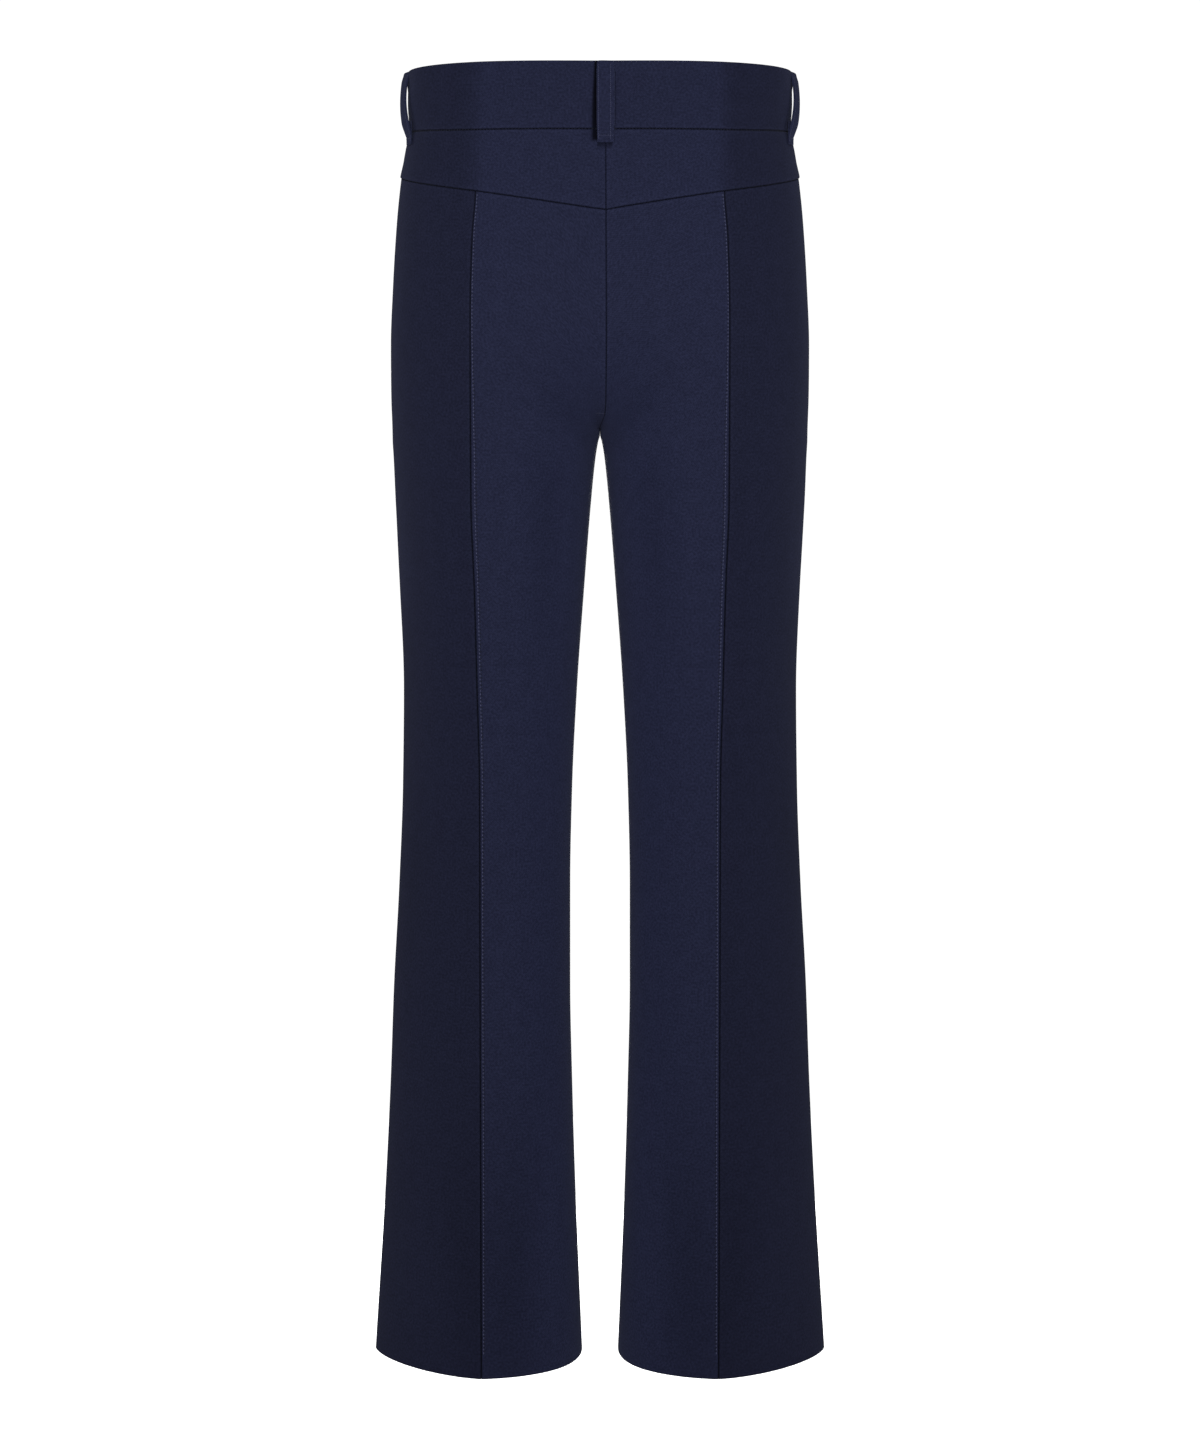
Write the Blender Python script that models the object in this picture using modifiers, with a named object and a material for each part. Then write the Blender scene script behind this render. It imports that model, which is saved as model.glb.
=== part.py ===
"""Flared trousers, filled out as if worn: the cut panels, the waistband and what is sewn on them.

The wearer looks along +Y, so the seat faces -Y, and the wearer's right is at +X. Z is up. The origin is
the middle of the waist, half way up the waistband. Sizes are in millimetres until a mesh is made.

The cloth lies on one form. A point of it is given by its station round one half of the body and its
height. Stations run from the centre back seam, or the inseam below the crotch, round the outside to
the centre front seam, or the inseam again: 0 centre back, 1 the long back seam, 2 the side, 3 the front
crease and 4 the centre front.
"""

import bpy
import numpy as np
from mathutils import Matrix, Vector

MM = 0.001


def table(columns, *rows):
    """Rows of numbers under named columns."""
    return dict(zip(columns.split(), np.array(rows, float).T))


# ---------------------------------------------------------------- driving sizes
CLOTH = 1.2  # panel wall
BAND_CLOTH = 2.4  # waistband wall: two layers and their stiffening
SEAM_GAP = 0.3  # between neighbouring pieces, also where one lies on another
CROTCH_Z = -268.0
SIDE_HEM_Z = -1020.0
BACK_HEM_DROP = 16.4  # the hem slants down to the heel
FRONT_HEM_LIFT = 6.0
HEM_SLANT = (0.68, 0.93)  # power of its fall from the inseam and from the side: under 1 it falls faster first
BACK_RISE = 95.0  # height over which the back seam sweeps under to the crotch
FRONT_RISE = 96.0
THIGH_RISE_FROM = 85.0  # the thigh begins to turn into the body this far below the crotch
THIGH_EASE = 1.5  # and more gradually than the seam
CENTRE_BACK_X = 4.0  # the centre back seam sits this far to the wearer's right
CENTRE_BACK_FADE = (1.0, 12.0)  # and comes back to the middle between these heights over the crotch
YOKE_PROUD = 1.0  # the yoke's lower edge, over its seam allowance
YOKE_LIP = 14.0

# The body, top to bottom. The depths are at the centre seams. The "square" columns are the exponents of
# the rounded outline: 2 is an ellipse, and more is squarer.
BODY = table(
    "z half_width back_depth front_depth back_square front_square",
    (40.0, 157.4, 102.4, 97.4, 2.40, 2.30),
    (26.0, 157.0, 103.0, 98.0, 2.40, 2.30),
    (0.0, 156.0, 104.6, 99.8, 2.40, 2.30),
    (-20.0, 154.8, 106.0, 101.2, 2.40, 2.30),
    (-25.0, 154.8, 106.6, 101.7, 2.40, 2.30),
    (-29.0, 156.4, 107.4, 102.4, 2.40, 2.30),
    (-36.0, 158.6, 109.0, 103.6, 2.40, 2.30),
    (-60.0, 162.4, 113.0, 106.0, 2.45, 2.35),
    (-97.0, 166.2, 118.0, 108.6, 2.50, 2.40),
    (-150.0, 169.4, 121.6, 109.6, 2.60, 2.45),
    (-200.0, 171.2, 122.0, 107.0, 2.65, 2.50),
    (-240.0, 171.0, 120.0, 103.6, 2.65, 2.55),
    (CROTCH_Z, 170.0, 117.0, 101.0, 2.65, 2.60),
)

# One leg, top to bottom. outer and inner are its reach from the centre plane, back and front its reach
# along Y. The last four columns are the exponents of the four quarters of its outline: under 2, a
# quarter runs flatter and meets its neighbour in a soft ridge.
LEG = table(
    "z outer inner back front back_in back_out front_out front_in",
    (-100.0, 166.4, 0.0, 103.0, 98.0, 2.10, 2.20, 2.10, 2.10),
    (-200.0, 171.2, 0.0, 108.5, 100.0, 2.10, 2.10, 2.10, 2.10),
    (CROTCH_Z, 170.0, 0.0, 106.5, 97.5, 2.10, 2.00, 2.10, 2.10),
    (-272.0, 169.9, 0.1, 106.1, 97.2, 2.10, 2.00, 2.10, 2.10),
    (-276.0, 169.8, 1.2, 105.8, 97.0, 2.10, 2.00, 2.10, 2.10),
    (-290.0, 168.6, 3.6, 104.4, 96.2, 2.10, 2.00, 2.10, 2.10),
    (-323.0, 167.2, 7.0, 100.6, 93.6, 2.05, 1.90, 2.05, 2.05),
    (-400.0, 163.6, 13.2, 90.5, 87.4, 2.00, 1.78, 1.95, 2.00),
    (-480.0, 160.8, 18.9, 81.6, 81.4, 2.00, 1.70, 1.90, 1.95),
    (-560.0, 161.6, 22.8, 75.0, 77.0, 1.95, 1.64, 1.85, 1.90),
    (-640.0, 164.6, 24.4, 72.6, 74.0, 1.95, 1.60, 1.82, 1.88),
    (-720.0, 168.8, 24.4, 73.4, 71.6, 1.95, 1.56, 1.80, 1.86),
    (-800.0, 171.6, 22.8, 75.6, 70.2, 1.95, 1.53, 1.78, 1.84),
    (-880.0, 175.4, 20.4, 78.4, 69.6, 1.94, 1.50, 1.76, 1.82),
    (-960.0, 180.2, 17.2, 80.8, 69.8, 1.88, 1.48, 1.75, 1.80),
    (SIDE_HEM_Z, 184.0, 14.6, 82.0, 70.4, 1.84, 1.47, 1.75, 1.80),
    (-1050.0, 185.8, 13.4, 82.4, 70.8, 1.84, 1.47, 1.75, 1.80),
)

# How far the long back seam and the front crease run from the centre plane.
LINES = table(
    "z back_seam front_crease",
    (40.0, 98.0, 88.0),
    (-80.0, 99.6, 88.0),
    (-120.0, 102.4, 88.5),
    (-180.0, 103.8, 89.0),
    (-330.0, 103.4, 91.5),
    (-400.0, 100.9, 92.5),
    (-480.0, 98.9, 93.0),
    (-560.0, 97.0, 93.4),
    (-720.0, 96.6, 94.4),
    (-880.0, 96.0, 95.6),
    (-1050.0, 95.4, 97.0),
)

# The waistband's upper and lower edge.
BAND = table(
    "station top seam",
    (0.0, 22.2, -31.0),
    (1.0, 23.7, -30.4),
    (1.6, 24.2, -27.4),
    (2.0, 24.4, -25.0),
    (3.0, 19.5, -30.0),
    (4.0, 16.0, -34.0),
)

# The yoke's lower seam is a straight cut: low at the centre back, high at the side.
YOKE_CENTRE_Z = -98.0
YOKE_SIDE_Z = -61.0
YOKE_SHARE = 0.45  # of that cut, between the centre back and the long back seam
YOKE_LINE = 0.78  # power that keeps that part straight as seen from behind

# The fly: the wearer's right front laps over the left down to FLY_END_Z, over the zip.
FLY_END_Z = -190.0
FLY_FADE = 25.0  # height over which the lap rises off the seam
FLY_PROUD = 2.4
FLY_FROM_STATION = 3.56
FLY_UNDERLAP = 6.5
ZIP_X = 12.0  # from the centre plane, to the wearer's right
ZIP_TAPE = 26.0
ZIP_WALL = 0.7
ZIP_UNDER = 0.8  # how far the tapes lie inside the left front's wall
CHAIN_WIDTH = 5.0
CHAIN_HEIGHT = 1.3
SLIDER = (8.0, 11.0, 2.4)  # width, height, depth

# The waistband's right end laps over a longer left end, and a button holds it.
BAND_LAP_STATION = 3.45  # the lap lies full from here on
BAND_LAP_FADE = 0.3  # over this many stations
BAND_UNDERLAP = 0.42  # how many stations the left end runs on past the centre front
BAND_PROUD = BAND_CLOTH + SEAM_GAP
BUTTON_X = 15.0
BUTTON_RADIUS = 8.5
BUTTON_RIM = 2.8
BUTTON_DISH = 1.7
SHANK_RADIUS = 1.0
BUTTONHOLE = (18.0, 2.8)  # length, height

# Belt loops
LOOP_WIDTH = 13.0
LOOP_CLOTH = 2.0
LOOP_SLACK = 4.9  # how far a loop bows out of line with its ends
SIDE_LOOP_SLACK = 3.6
LOOP_FOOT = 11.5  # how far it runs on below the band's seam
LOOP_BOW_FROM = 0.10  # share of its length, from the foot, that lies flat
SIDE_LOOP = (1.72, 1.93)  # the stations of its foot and of its upper end
FRONT_LOOP = (3.0, 3.0)

# Mesh rows
LEG_ROWS = 17
LEG_ROW_SPACING = 1.4  # power that brings them closer together towards the crotch
RISE_ROWS = 9


# ---------------------------------------------------------------- the form
def smooth(rows, column, at, key="z"):
    """A column of a table as a smooth curve that never overshoots its rows."""
    order = np.argsort(rows[key])
    x, y = rows[key][order], rows[column][order]
    step, slope = np.diff(x), np.diff(y) / np.diff(x)
    product, total = slope[1:] * slope[:-1], slope[1:] + slope[:-1]
    rising = product > 0
    inner = np.where(rising, 2 * product / np.where(rising, total, 1), 0.0)
    tangent = np.concatenate([slope[:1], inner, slope[-1:]])
    at = np.clip(np.asarray(at, float), x[0], x[-1])
    i = np.clip(np.searchsorted(x, at) - 1, 0, len(x) - 2)
    u = (at - x[i]) / step[i]
    return (
        (1 + 2 * u) * (1 - u) ** 2 * y[i]
        + u * (1 - u) ** 2 * step[i] * tangent[i]
        + u * u * (3 - 2 * u) * y[i + 1]
        + u * u * (u - 1) * step[i] * tangent[i + 1]
    )


def ease(share):
    """0 to 1, level at both ends."""
    share = np.clip(share, 0, 1)
    return share * share * (3 - 2 * share)


def quarter(across, along, square, angle):
    """A quarter of a rounded outline: its reach across and along at an angle up to a right angle."""
    power = 2.0 / square
    return across * np.cos(angle).clip(0) ** power, along * np.sin(angle).clip(0) ** power


def leg_outline(station, z):
    """(x, y) round one leg, closed at the inseam."""
    leg = {column: smooth(LEG, column, z) for column in LEG if column != "z"}
    seam, crease = smooth(LINES, "back_seam", z), smooth(LINES, "front_crease", z)
    right_angle = np.pi / 2
    turn = np.where(station >= 4, 1.0, station % 1.0) * right_angle
    back_in = quarter(seam - leg["inner"], leg["back"], leg["back_in"], turn)
    back_out = quarter(leg["outer"] - seam, leg["back"], leg["back_out"], right_angle - turn)
    front_out = quarter(leg["outer"] - crease, leg["front"], leg["front_out"], turn)
    front_in = quarter(crease - leg["inner"], leg["front"], leg["front_in"], right_angle - turn)
    cases = [station < 1, station < 2, station < 3]
    x = np.select(cases, [seam - back_in[0], seam + back_out[0], crease + front_out[0]], crease - front_in[0])
    y = np.select(cases, [-back_in[1], -back_out[1], front_out[1]], front_in[1])
    return x, y


def body_outline(station, z):
    """(x, y) round one half of the body, from the centre back to the centre front."""
    half = smooth(BODY, "half_width", z)
    reach = {}
    for side, line, centre in (("back", "back_seam", 0.0), ("front", "front_crease", 4.0)):
        square = smooth(BODY, side + "_square", z)
        at_line = np.arccos((smooth(LINES, line, z) / half) ** (square / 2))
        from_centre = np.abs(station - centre)
        near = np.pi / 2 - from_centre * (np.pi / 2 - at_line)
        angle = np.where(from_centre < 1, near, (2 - from_centre) * at_line)
        reach[side] = quarter(half, smooth(BODY, side + "_depth", z), square, angle)
    behind = station < 2
    return np.where(behind, reach["back"][0], reach["front"][0]), np.where(
        behind, -reach["back"][1], reach["front"][1]
    )


def form(station, z):
    """(x, y, z) on the outside of the cloth, for the wearer's right half. A station below 0 or over 4
    carries on past the centre seam, or round the leg below the crotch."""
    station, z = np.broadcast_arrays(np.asarray(station, float), np.asarray(z, float))
    on_leg = z <= CROTCH_Z
    side = np.where(~on_leg & ((station < 0) | (station > 4)), -1.0, 1.0)
    folded = np.where(np.abs(station) > 4, 8 - station, np.abs(station))
    station = np.where(on_leg, station % 4, folded)
    # On the centre seam the rise is a quarter of an ellipse. Further out, the thigh runs up smoothly.
    from_seam = np.minimum(station, 4 - station).clip(0, 1)
    below = THIGH_RISE_FROM * ease(from_seam)
    rise = np.where(station < 2, BACK_RISE, FRONT_RISE) + below
    height = np.clip((z - CROTCH_Z + below) / rise, 0, 1)
    share = (1 - (1 - height) ** 2) ** (0.5 + THIGH_EASE * from_seam * (2 - from_seam))
    leg_x, leg_y = leg_outline(station, z)
    body_x, body_y = body_outline(station, z)
    x = leg_x + share * (body_x - leg_x)
    y = leg_y + share * (body_y - leg_y)
    return np.stack([x * side, y, z], axis=-1)


def unit(vectors):
    return vectors / np.linalg.norm(vectors, axis=-1, keepdims=True)


def outward(station, z):
    """The direction square to the form."""
    d_station, d_z = 0.002, 0.5
    around = form(station + d_station, z) - form(station - d_station, z)
    upward = form(station, z + d_z) - form(station, z - d_z)
    return unit(np.cross(around, upward))


def on_form(station, z, proud=0.0):
    """Points on the form, or moved out from it, and their outward directions."""
    station, z = np.broadcast_arrays(np.asarray(station, float), np.asarray(z, float))
    out = outward(station, z)
    return form(station, z) + out * np.asarray(proud, float)[..., None], out


# ---------------------------------------------------------------- edges of the pieces
def band_edge(column, station):
    station = np.abs(np.asarray(station, float))
    return smooth(BAND, column, np.where(station > 4, 8 - station, station), "station")


def yoke_seam(station):
    inner, outer = np.clip(station, 0, 1) ** YOKE_LINE, np.clip(station - 1, 0, 1)
    share = YOKE_SHARE * inner + (1 - YOKE_SHARE) * outer
    return YOKE_CENTRE_Z + (YOKE_SIDE_Z - YOKE_CENTRE_Z) * share


def hem(station):
    y = form(station, SIDE_HEM_Z)[..., 1]
    behind = np.clip(-y / smooth(LEG, "back", SIDE_HEM_Z), 0, 1)
    before = np.clip(y / smooth(LEG, "front", SIDE_HEM_Z), 0, 1)
    slant = np.where(station < 1, *HEM_SLANT)
    return SIDE_HEM_Z - BACK_HEM_DROP * behind**slant + FRONT_HEM_LIFT * before


def stations_off_centre(x, z, centre):
    """How many stations a distance x is from the centre back (0) or the centre front (4)."""
    step = 0.05
    per_station = form(abs(centre - step), z)[..., 0] / step
    return x / np.maximum(per_station, 20.0)


def centre_back(z):
    """The station of the centre back seam, seen from the wearer's right half."""
    low, high = CENTRE_BACK_FADE
    over_crotch = (np.asarray(z, float) - CROTCH_Z - low) / (high - low)
    return stations_off_centre(CENTRE_BACK_X * ease(over_crotch), z, 0.0)


# ---------------------------------------------------------------- meshes
def new_material(name, colour, roughness, metallic=0.0):
    material = bpy.data.materials.new(name)
    material.use_nodes = True
    shader = material.node_tree.nodes["Principled BSDF"]
    shader.inputs["Base Color"].default_value = (*colour, 1.0)
    shader.inputs["Roughness"].default_value = roughness
    shader.inputs["Metallic"].default_value = metallic
    return material


def add_object(name, mesh, material, collection):
    mesh.materials.append(material)
    made = bpy.data.objects.new(name, mesh)
    collection.objects.link(made)
    return made


def drawn_back(points, out, wall):
    """The grid with its edges drawn back from the seams, so that the walls on both sides of a seam stay
    SEAM_GAP apart, also inside a ridge, where they lean towards each other."""
    drawn = points.copy()
    for axis in (0, 1):
        lines, directions = np.moveaxis(drawn, axis, 0), np.moveaxis(out, axis, 0)
        for end, beside in ((0, 1), (-1, -2)):
            way = unit(lines[beside] - lines[end])
            lean = wall * np.clip(-(way * directions[end]).sum(-1, keepdims=True), 0, 0.6)
            lines[end] += way * (SEAM_GAP / 2 + lean)
    return drawn


def cloth(name, points, wall, material, collection, half=1):
    """A wall of cloth with its outside on a grid of points, in rows from the bottom up and by rising
    station along each row. half is -1 for the mirrored piece."""
    points = points * (half * MM, MM, MM)
    rows, columns = points.shape[:2]
    faces = []
    for row in range(rows - 1):
        for column in range(columns - 1):
            corner = row * columns + column
            face = (corner, corner + 1, corner + columns + 1, corner + columns)
            faces.append(face if half > 0 else face[::-1])
    mesh = bpy.data.meshes.new(name)
    mesh.from_pydata([tuple(point) for point in points.reshape(-1, 3)], [], faces)
    mesh.shade_smooth()
    made = add_object(name, mesh, material, collection)
    shell = made.modifiers.new("wall", "SOLIDIFY")
    shell.thickness = wall * MM
    shell.offset = -1.0
    shell.use_even_offset = True
    return made


def between(bottom, top, shares):
    """Heights in rows from one edge up to another."""
    return bottom + (top - bottom) * np.asarray(shares)[:, None]


def stations_over(*parts):
    """Stations from one end to the other, evenly within each (first, last, steps) part."""
    runs = [np.linspace(first, last, steps + 1) for first, last, steps in parts]
    return np.concatenate([runs[0][:1], *[run[1:] for run in runs]])[None, :]


def side_name(stem, half):
    return f"{stem}_{'right' if half > 0 else 'left'}"


# ---------------------------------------------------------------- panels
def leg_heights(stations, top):
    """Rows of a leg panel, closest together next to the crotch, where it turns."""
    crotch = np.full(stations.shape, CROTCH_Z)
    below = between(hem(stations), crotch, 1 - np.linspace(1, 0, LEG_ROWS) ** LEG_ROW_SPACING)
    above = between(crotch, top, 1 - np.cos(np.linspace(0, np.pi / 2, RISE_ROWS)))
    return np.concatenate([below[:-1], above])


def from_centre_back(stations, z, half):
    """Stations that start on the centre back seam instead of 0, and reach 1 unchanged."""
    start = half * centre_back(z[:, :1])
    return np.where(stations < 1, start + (1 - start) * stations, stations)


def clear_of_other_leg(points):
    """Keeps the inseam, and the seam next to the crotch, on its own side."""
    points = points.copy()
    low = points[..., 2] < CROTCH_Z + CENTRE_BACK_FADE[0]
    points[..., 0] = np.where(low, np.maximum(points[..., 0], SEAM_GAP / 2), points[..., 0])
    return points


def centre_back_panel(half, material, collection):
    stations = stations_over((0, 1, 8))
    z = leg_heights(stations, yoke_seam(stations))
    points, out = on_form(from_centre_back(stations, z, half), z)
    points = clear_of_other_leg(drawn_back(points, out, CLOTH))
    cloth(side_name("back_centre", half), points, CLOTH, material, collection, half)


def side_back_panel(half, material, collection):
    stations = stations_over((1, 2, 7))
    points, out = on_form(stations, leg_heights(stations, yoke_seam(stations)))
    points = drawn_back(points, out, CLOTH)
    cloth(side_name("back_side", half), points, CLOTH, material, collection, half)


def front_panel(half, material, collection):
    """The right front stands proud along the fly, and the left one runs on under it."""
    stations = stations_over((2, 3, 7), (3, 4, 8))
    z = leg_heights(stations, band_edge("seam", stations))
    on_fly = ease((z - FLY_END_Z) / FLY_FADE)
    near = ((stations - FLY_FROM_STATION) / (4 - FLY_FROM_STATION)).clip(0, 1)
    if half > 0:
        points, out = on_form(stations, z, FLY_PROUD * on_fly * ease(near * 2))
    else:
        lapped = ease((z - FLY_END_Z - FLY_FADE) / FLY_FADE)
        points, out = on_form(stations + stations_off_centre(FLY_UNDERLAP, z, 4.0) * lapped * near, z)
    points = clear_of_other_leg(drawn_back(points, out, CLOTH))
    cloth(side_name("front", half), points, CLOTH, material, collection, half)


def yoke(half, material, collection):
    stations = stations_over((0, 1, 6), (1, 2, 7))
    z = between(yoke_seam(stations), band_edge("seam", stations), (0, 0.15, 0.4, 0.7, 0.87, 1))
    proud = YOKE_PROUD * (1 - ease((z - yoke_seam(stations)) / YOKE_LIP))
    points, out = on_form(from_centre_back(stations, z, half), z, proud)
    cloth(side_name("yoke", half), drawn_back(points, out, CLOTH), CLOTH, material, collection, half)


# ---------------------------------------------------------------- waistband and loops
def band_heights(stations):
    return between(band_edge("seam", stations), band_edge("top", stations), (0, 0.12, 0.5, 1))


def back_waistband(material, collection):
    stations = stations_over((-2, -1, 7), (-1, 1, 10), (1, 2, 7))
    z = band_heights(stations)
    # The form only carries on a little past a centre seam, so the left half is mirrored here.
    points, out = on_form(np.abs(stations), z)
    side = np.where(stations < 0, -1, 1)
    points[..., 0] *= side
    out[..., 0] *= side
    cloth("waistband_back", drawn_back(points, out, BAND_CLOTH), BAND_CLOTH, material, collection)


def front_waistband(half, material, collection):
    last = 4 if half > 0 else 4 + BAND_UNDERLAP
    stations = stations_over((2, 3, 6), (3, last, 9))
    z = band_heights(stations)
    lap = ease((stations - BAND_LAP_STATION + BAND_LAP_FADE) / BAND_LAP_FADE)
    points, out = on_form(stations, z, np.broadcast_to(BAND_PROUD * lap * (half > 0), z.shape))
    points = drawn_back(points, out, BAND_CLOTH)
    return cloth(side_name("waistband_front", half), points, BAND_CLOTH, material, collection, half)


def belt_loop(name, stations, slack, half, material, collection):
    """A strap sewn down at its foot and at its upper end, which bows off the band between them."""
    foot, top = stations
    heights = np.array([band_edge("seam", foot) - LOOP_FOOT, band_edge("top", top)])
    ends, out = on_form(np.array(stations), heights)
    level = out * (1, 1, 0)
    share = np.linspace(0, 1, 15)[:, None, None]
    bow = np.sin(np.pi * ((share - LOOP_BOW_FROM) / (1 - LOOP_BOW_FROM)).clip(0, 1)) ** 0.8
    out = unit(level[0] + (level[1] - level[0]) * share)
    middle = ends[0] + (ends[1] - ends[0]) * share
    across = np.linspace(-0.5, 0.5, 3)[None, :, None] * LOOP_WIDTH
    points = middle + across * np.cross((0, 0, 1), out) + out * (SEAM_GAP + LOOP_CLOTH + slack * bow)
    cloth(name, points, LOOP_CLOTH, material, collection, half)


# ---------------------------------------------------------------- fly and button
def fly_zip(material, collection):
    """The closed zip's tapes, with its chain of teeth as one ridge that ends under the slider."""
    across = np.array([0.5 * ZIP_TAPE, 0.6 * CHAIN_WIDTH, 0.5 * CHAIN_WIDTH])
    x = ZIP_X + np.concatenate([across, -across[::-1]])
    ridge = np.array([0, 0, CHAIN_HEIGHT, CHAIN_HEIGHT, 0, 0])
    top = float(band_edge("seam", 4.0)) - 2
    chain_top = top - SLIDER[1] - 3
    rows = np.append(np.linspace(FLY_END_Z + FLY_FADE, chain_top, 9), [chain_top + 1, top])[:, None]
    z = np.broadcast_to(rows, (len(rows), len(x)))
    stations = 4 - stations_off_centre(x, z, 4.0)
    points, _ = on_form(stations, z, ridge * (z <= chain_top) - CLOTH - ZIP_UNDER)
    cloth("fly_zip", points, ZIP_WALL, material, collection)


def box(name, size, material, collection):
    bpy.ops.mesh.primitive_cube_add(size=1)
    made = bpy.context.object
    made.name = name
    made.data.name = name
    made.data.transform(Matrix.Diagonal((*[side * MM for side in size], 1)))
    if material:
        made.data.materials.append(material)
    for holder in list(made.users_collection):
        holder.objects.unlink(made)
    collection.objects.link(made)
    return made


def stand_on_form(made, x, z, proud):
    """Puts an object at x on the front, with its own Z facing out and its own Y up the cloth."""
    station = 4 - stations_off_centre(x, z, 4.0)
    point, out = on_form(station, z, proud)
    facing = Vector(out)
    across = Vector((0, 0, 1)).cross(facing).normalized()
    turn = Matrix((across, facing.cross(across), facing)).transposed()
    made.matrix_world = Matrix.Translation(Vector(point) * MM) @ turn.to_4x4()


def zip_slider(material, collection):
    slider = box("zip_slider", SLIDER, material, collection)
    corners = slider.modifiers.new("rounded", "BEVEL")
    corners.width = 0.5 * MM
    corners.segments = 1
    lies_at = band_edge("seam", 4.0) - 3 - SLIDER[1] / 2
    stand_on_form(slider, ZIP_X, lies_at, SEAM_GAP + SLIDER[2] / 2 - CLOTH - ZIP_UNDER)


def waist_button(material, collection):
    """A turned button with a rim, on a thread shank that reaches through the buttonhole."""
    outline = (
        (SHANK_RADIUS, -BAND_CLOTH),
        (SHANK_RADIUS, SEAM_GAP),
        (BUTTON_RADIUS - 1, SEAM_GAP),
        (BUTTON_RADIUS, SEAM_GAP + 1),
        (BUTTON_RADIUS, BUTTON_RIM - 0.6),
        (BUTTON_RADIUS - 0.8, BUTTON_RIM),
        (BUTTON_RADIUS - 2.0, BUTTON_RIM),
        (BUTTON_RADIUS - 3.0, BUTTON_DISH),
        (0, BUTTON_DISH),
    )
    points = [(0, 0, -BAND_CLOTH * MM)] + [(radius * MM, 0, height * MM) for radius, height in outline]
    mesh = bpy.data.meshes.new("waist_button")
    mesh.from_pydata(points, [(i, i + 1) for i in range(len(points) - 1)], [])
    button = add_object("waist_button", mesh, material, collection)
    turned = button.modifiers.new("turned", "SCREW")
    turned.steps = turned.render_steps = 28
    turned.use_merge_vertices = True
    turned.merge_threshold = 0.00001
    turned.use_normal_flip = True
    stand_on_form(button, BUTTON_X, button_height(), BAND_PROUD)


def button_height():
    return 0.5 * float(band_edge("seam", 3.8) + band_edge("top", 3.8))


def cut_buttonhole(band, cutters):
    cutter = box("buttonhole_cutter", (*BUTTONHOLE, 12.0), None, cutters)
    cutter.hide_render = True
    cutter.display_type = "WIRE"
    stand_on_form(cutter, BUTTON_X, button_height(), BAND_PROUD)
    cut = band.modifiers.new("buttonhole", "BOOLEAN")
    cut.operation = "DIFFERENCE"
    cut.object = cutter


# ---------------------------------------------------------------- the trousers
def main():
    for old in list(bpy.data.objects):
        bpy.data.objects.remove(old, do_unlink=True)
    trousers, cutters = (bpy.data.collections.new(name) for name in ("trousers", "cutters"))
    bpy.context.scene.collection.children.link(trousers)
    bpy.context.scene.collection.children.link(cutters)

    suiting = new_material("navy_suiting", (0.0185, 0.0200, 0.0450), 0.85)
    side_suiting = new_material("navy_suiting_side", (0.0140, 0.0160, 0.0340), 0.85)
    band_suiting = new_material("navy_suiting_band", (0.0160, 0.0185, 0.0410), 0.85)
    tape = new_material("navy_tape", (0.0120, 0.0140, 0.0300), 0.80)
    metal = new_material("zip_metal", (0.42, 0.41, 0.39), 0.35, 1.0)
    horn = new_material("navy_button", (0.0120, 0.0130, 0.0240), 0.35)

    for half in (1, -1):
        centre_back_panel(half, suiting, trousers)
        side_back_panel(half, side_suiting, trousers)
        front_panel(half, suiting, trousers)
        yoke(half, suiting, trousers)
    back_waistband(band_suiting, trousers)
    left_band, right_band = (front_waistband(half, band_suiting, trousers) for half in (-1, 1))
    cut_buttonhole(right_band, cutters)

    centre = float(centre_back(0.0))
    belt_loop("loop_back_centre", (centre, centre), LOOP_SLACK, 1, band_suiting, trousers)
    for half in (1, -1):
        belt_loop(side_name("loop_side", half), SIDE_LOOP, SIDE_LOOP_SLACK, half, band_suiting, trousers)
        belt_loop(side_name("loop_front", half), FRONT_LOOP, LOOP_SLACK, half, band_suiting, trousers)

    fly_zip(tape, trousers)
    zip_slider(metal, trousers)
    waist_button(horn, trousers)


main()
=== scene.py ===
"""The looks of the flared trousers: thin cloth on the form of the cut panels, with its seams, folds and
stitches, the belt loops, the button and the zip, in a plain white studio.

The wearer looks along +Y, so the seat faces -Y and the camera, and the wearer's right is at +X. Z is up.
Sizes are in millimetres until a mesh is made, unless a name ends in _M.
"""

import math

import bmesh
import bpy
import numpy as np
from mathutils import Matrix, Vector


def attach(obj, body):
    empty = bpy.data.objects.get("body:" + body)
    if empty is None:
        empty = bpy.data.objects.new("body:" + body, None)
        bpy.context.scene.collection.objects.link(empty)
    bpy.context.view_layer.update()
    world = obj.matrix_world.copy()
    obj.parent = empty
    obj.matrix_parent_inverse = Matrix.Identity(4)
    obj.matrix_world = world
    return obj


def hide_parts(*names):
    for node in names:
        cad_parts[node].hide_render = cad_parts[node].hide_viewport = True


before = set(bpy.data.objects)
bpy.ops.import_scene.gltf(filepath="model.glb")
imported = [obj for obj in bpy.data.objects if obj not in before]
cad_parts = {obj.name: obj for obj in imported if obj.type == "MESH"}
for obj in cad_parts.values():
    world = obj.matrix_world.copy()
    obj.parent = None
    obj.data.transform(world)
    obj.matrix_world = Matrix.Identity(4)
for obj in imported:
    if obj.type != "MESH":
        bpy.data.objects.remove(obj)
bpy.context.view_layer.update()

MM = 0.001
MERGE_M = 0.00001


def table(columns, *rows):
    """Rows of numbers under named columns."""
    return dict(zip(columns.split(), np.array(rows, float).T))


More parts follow.
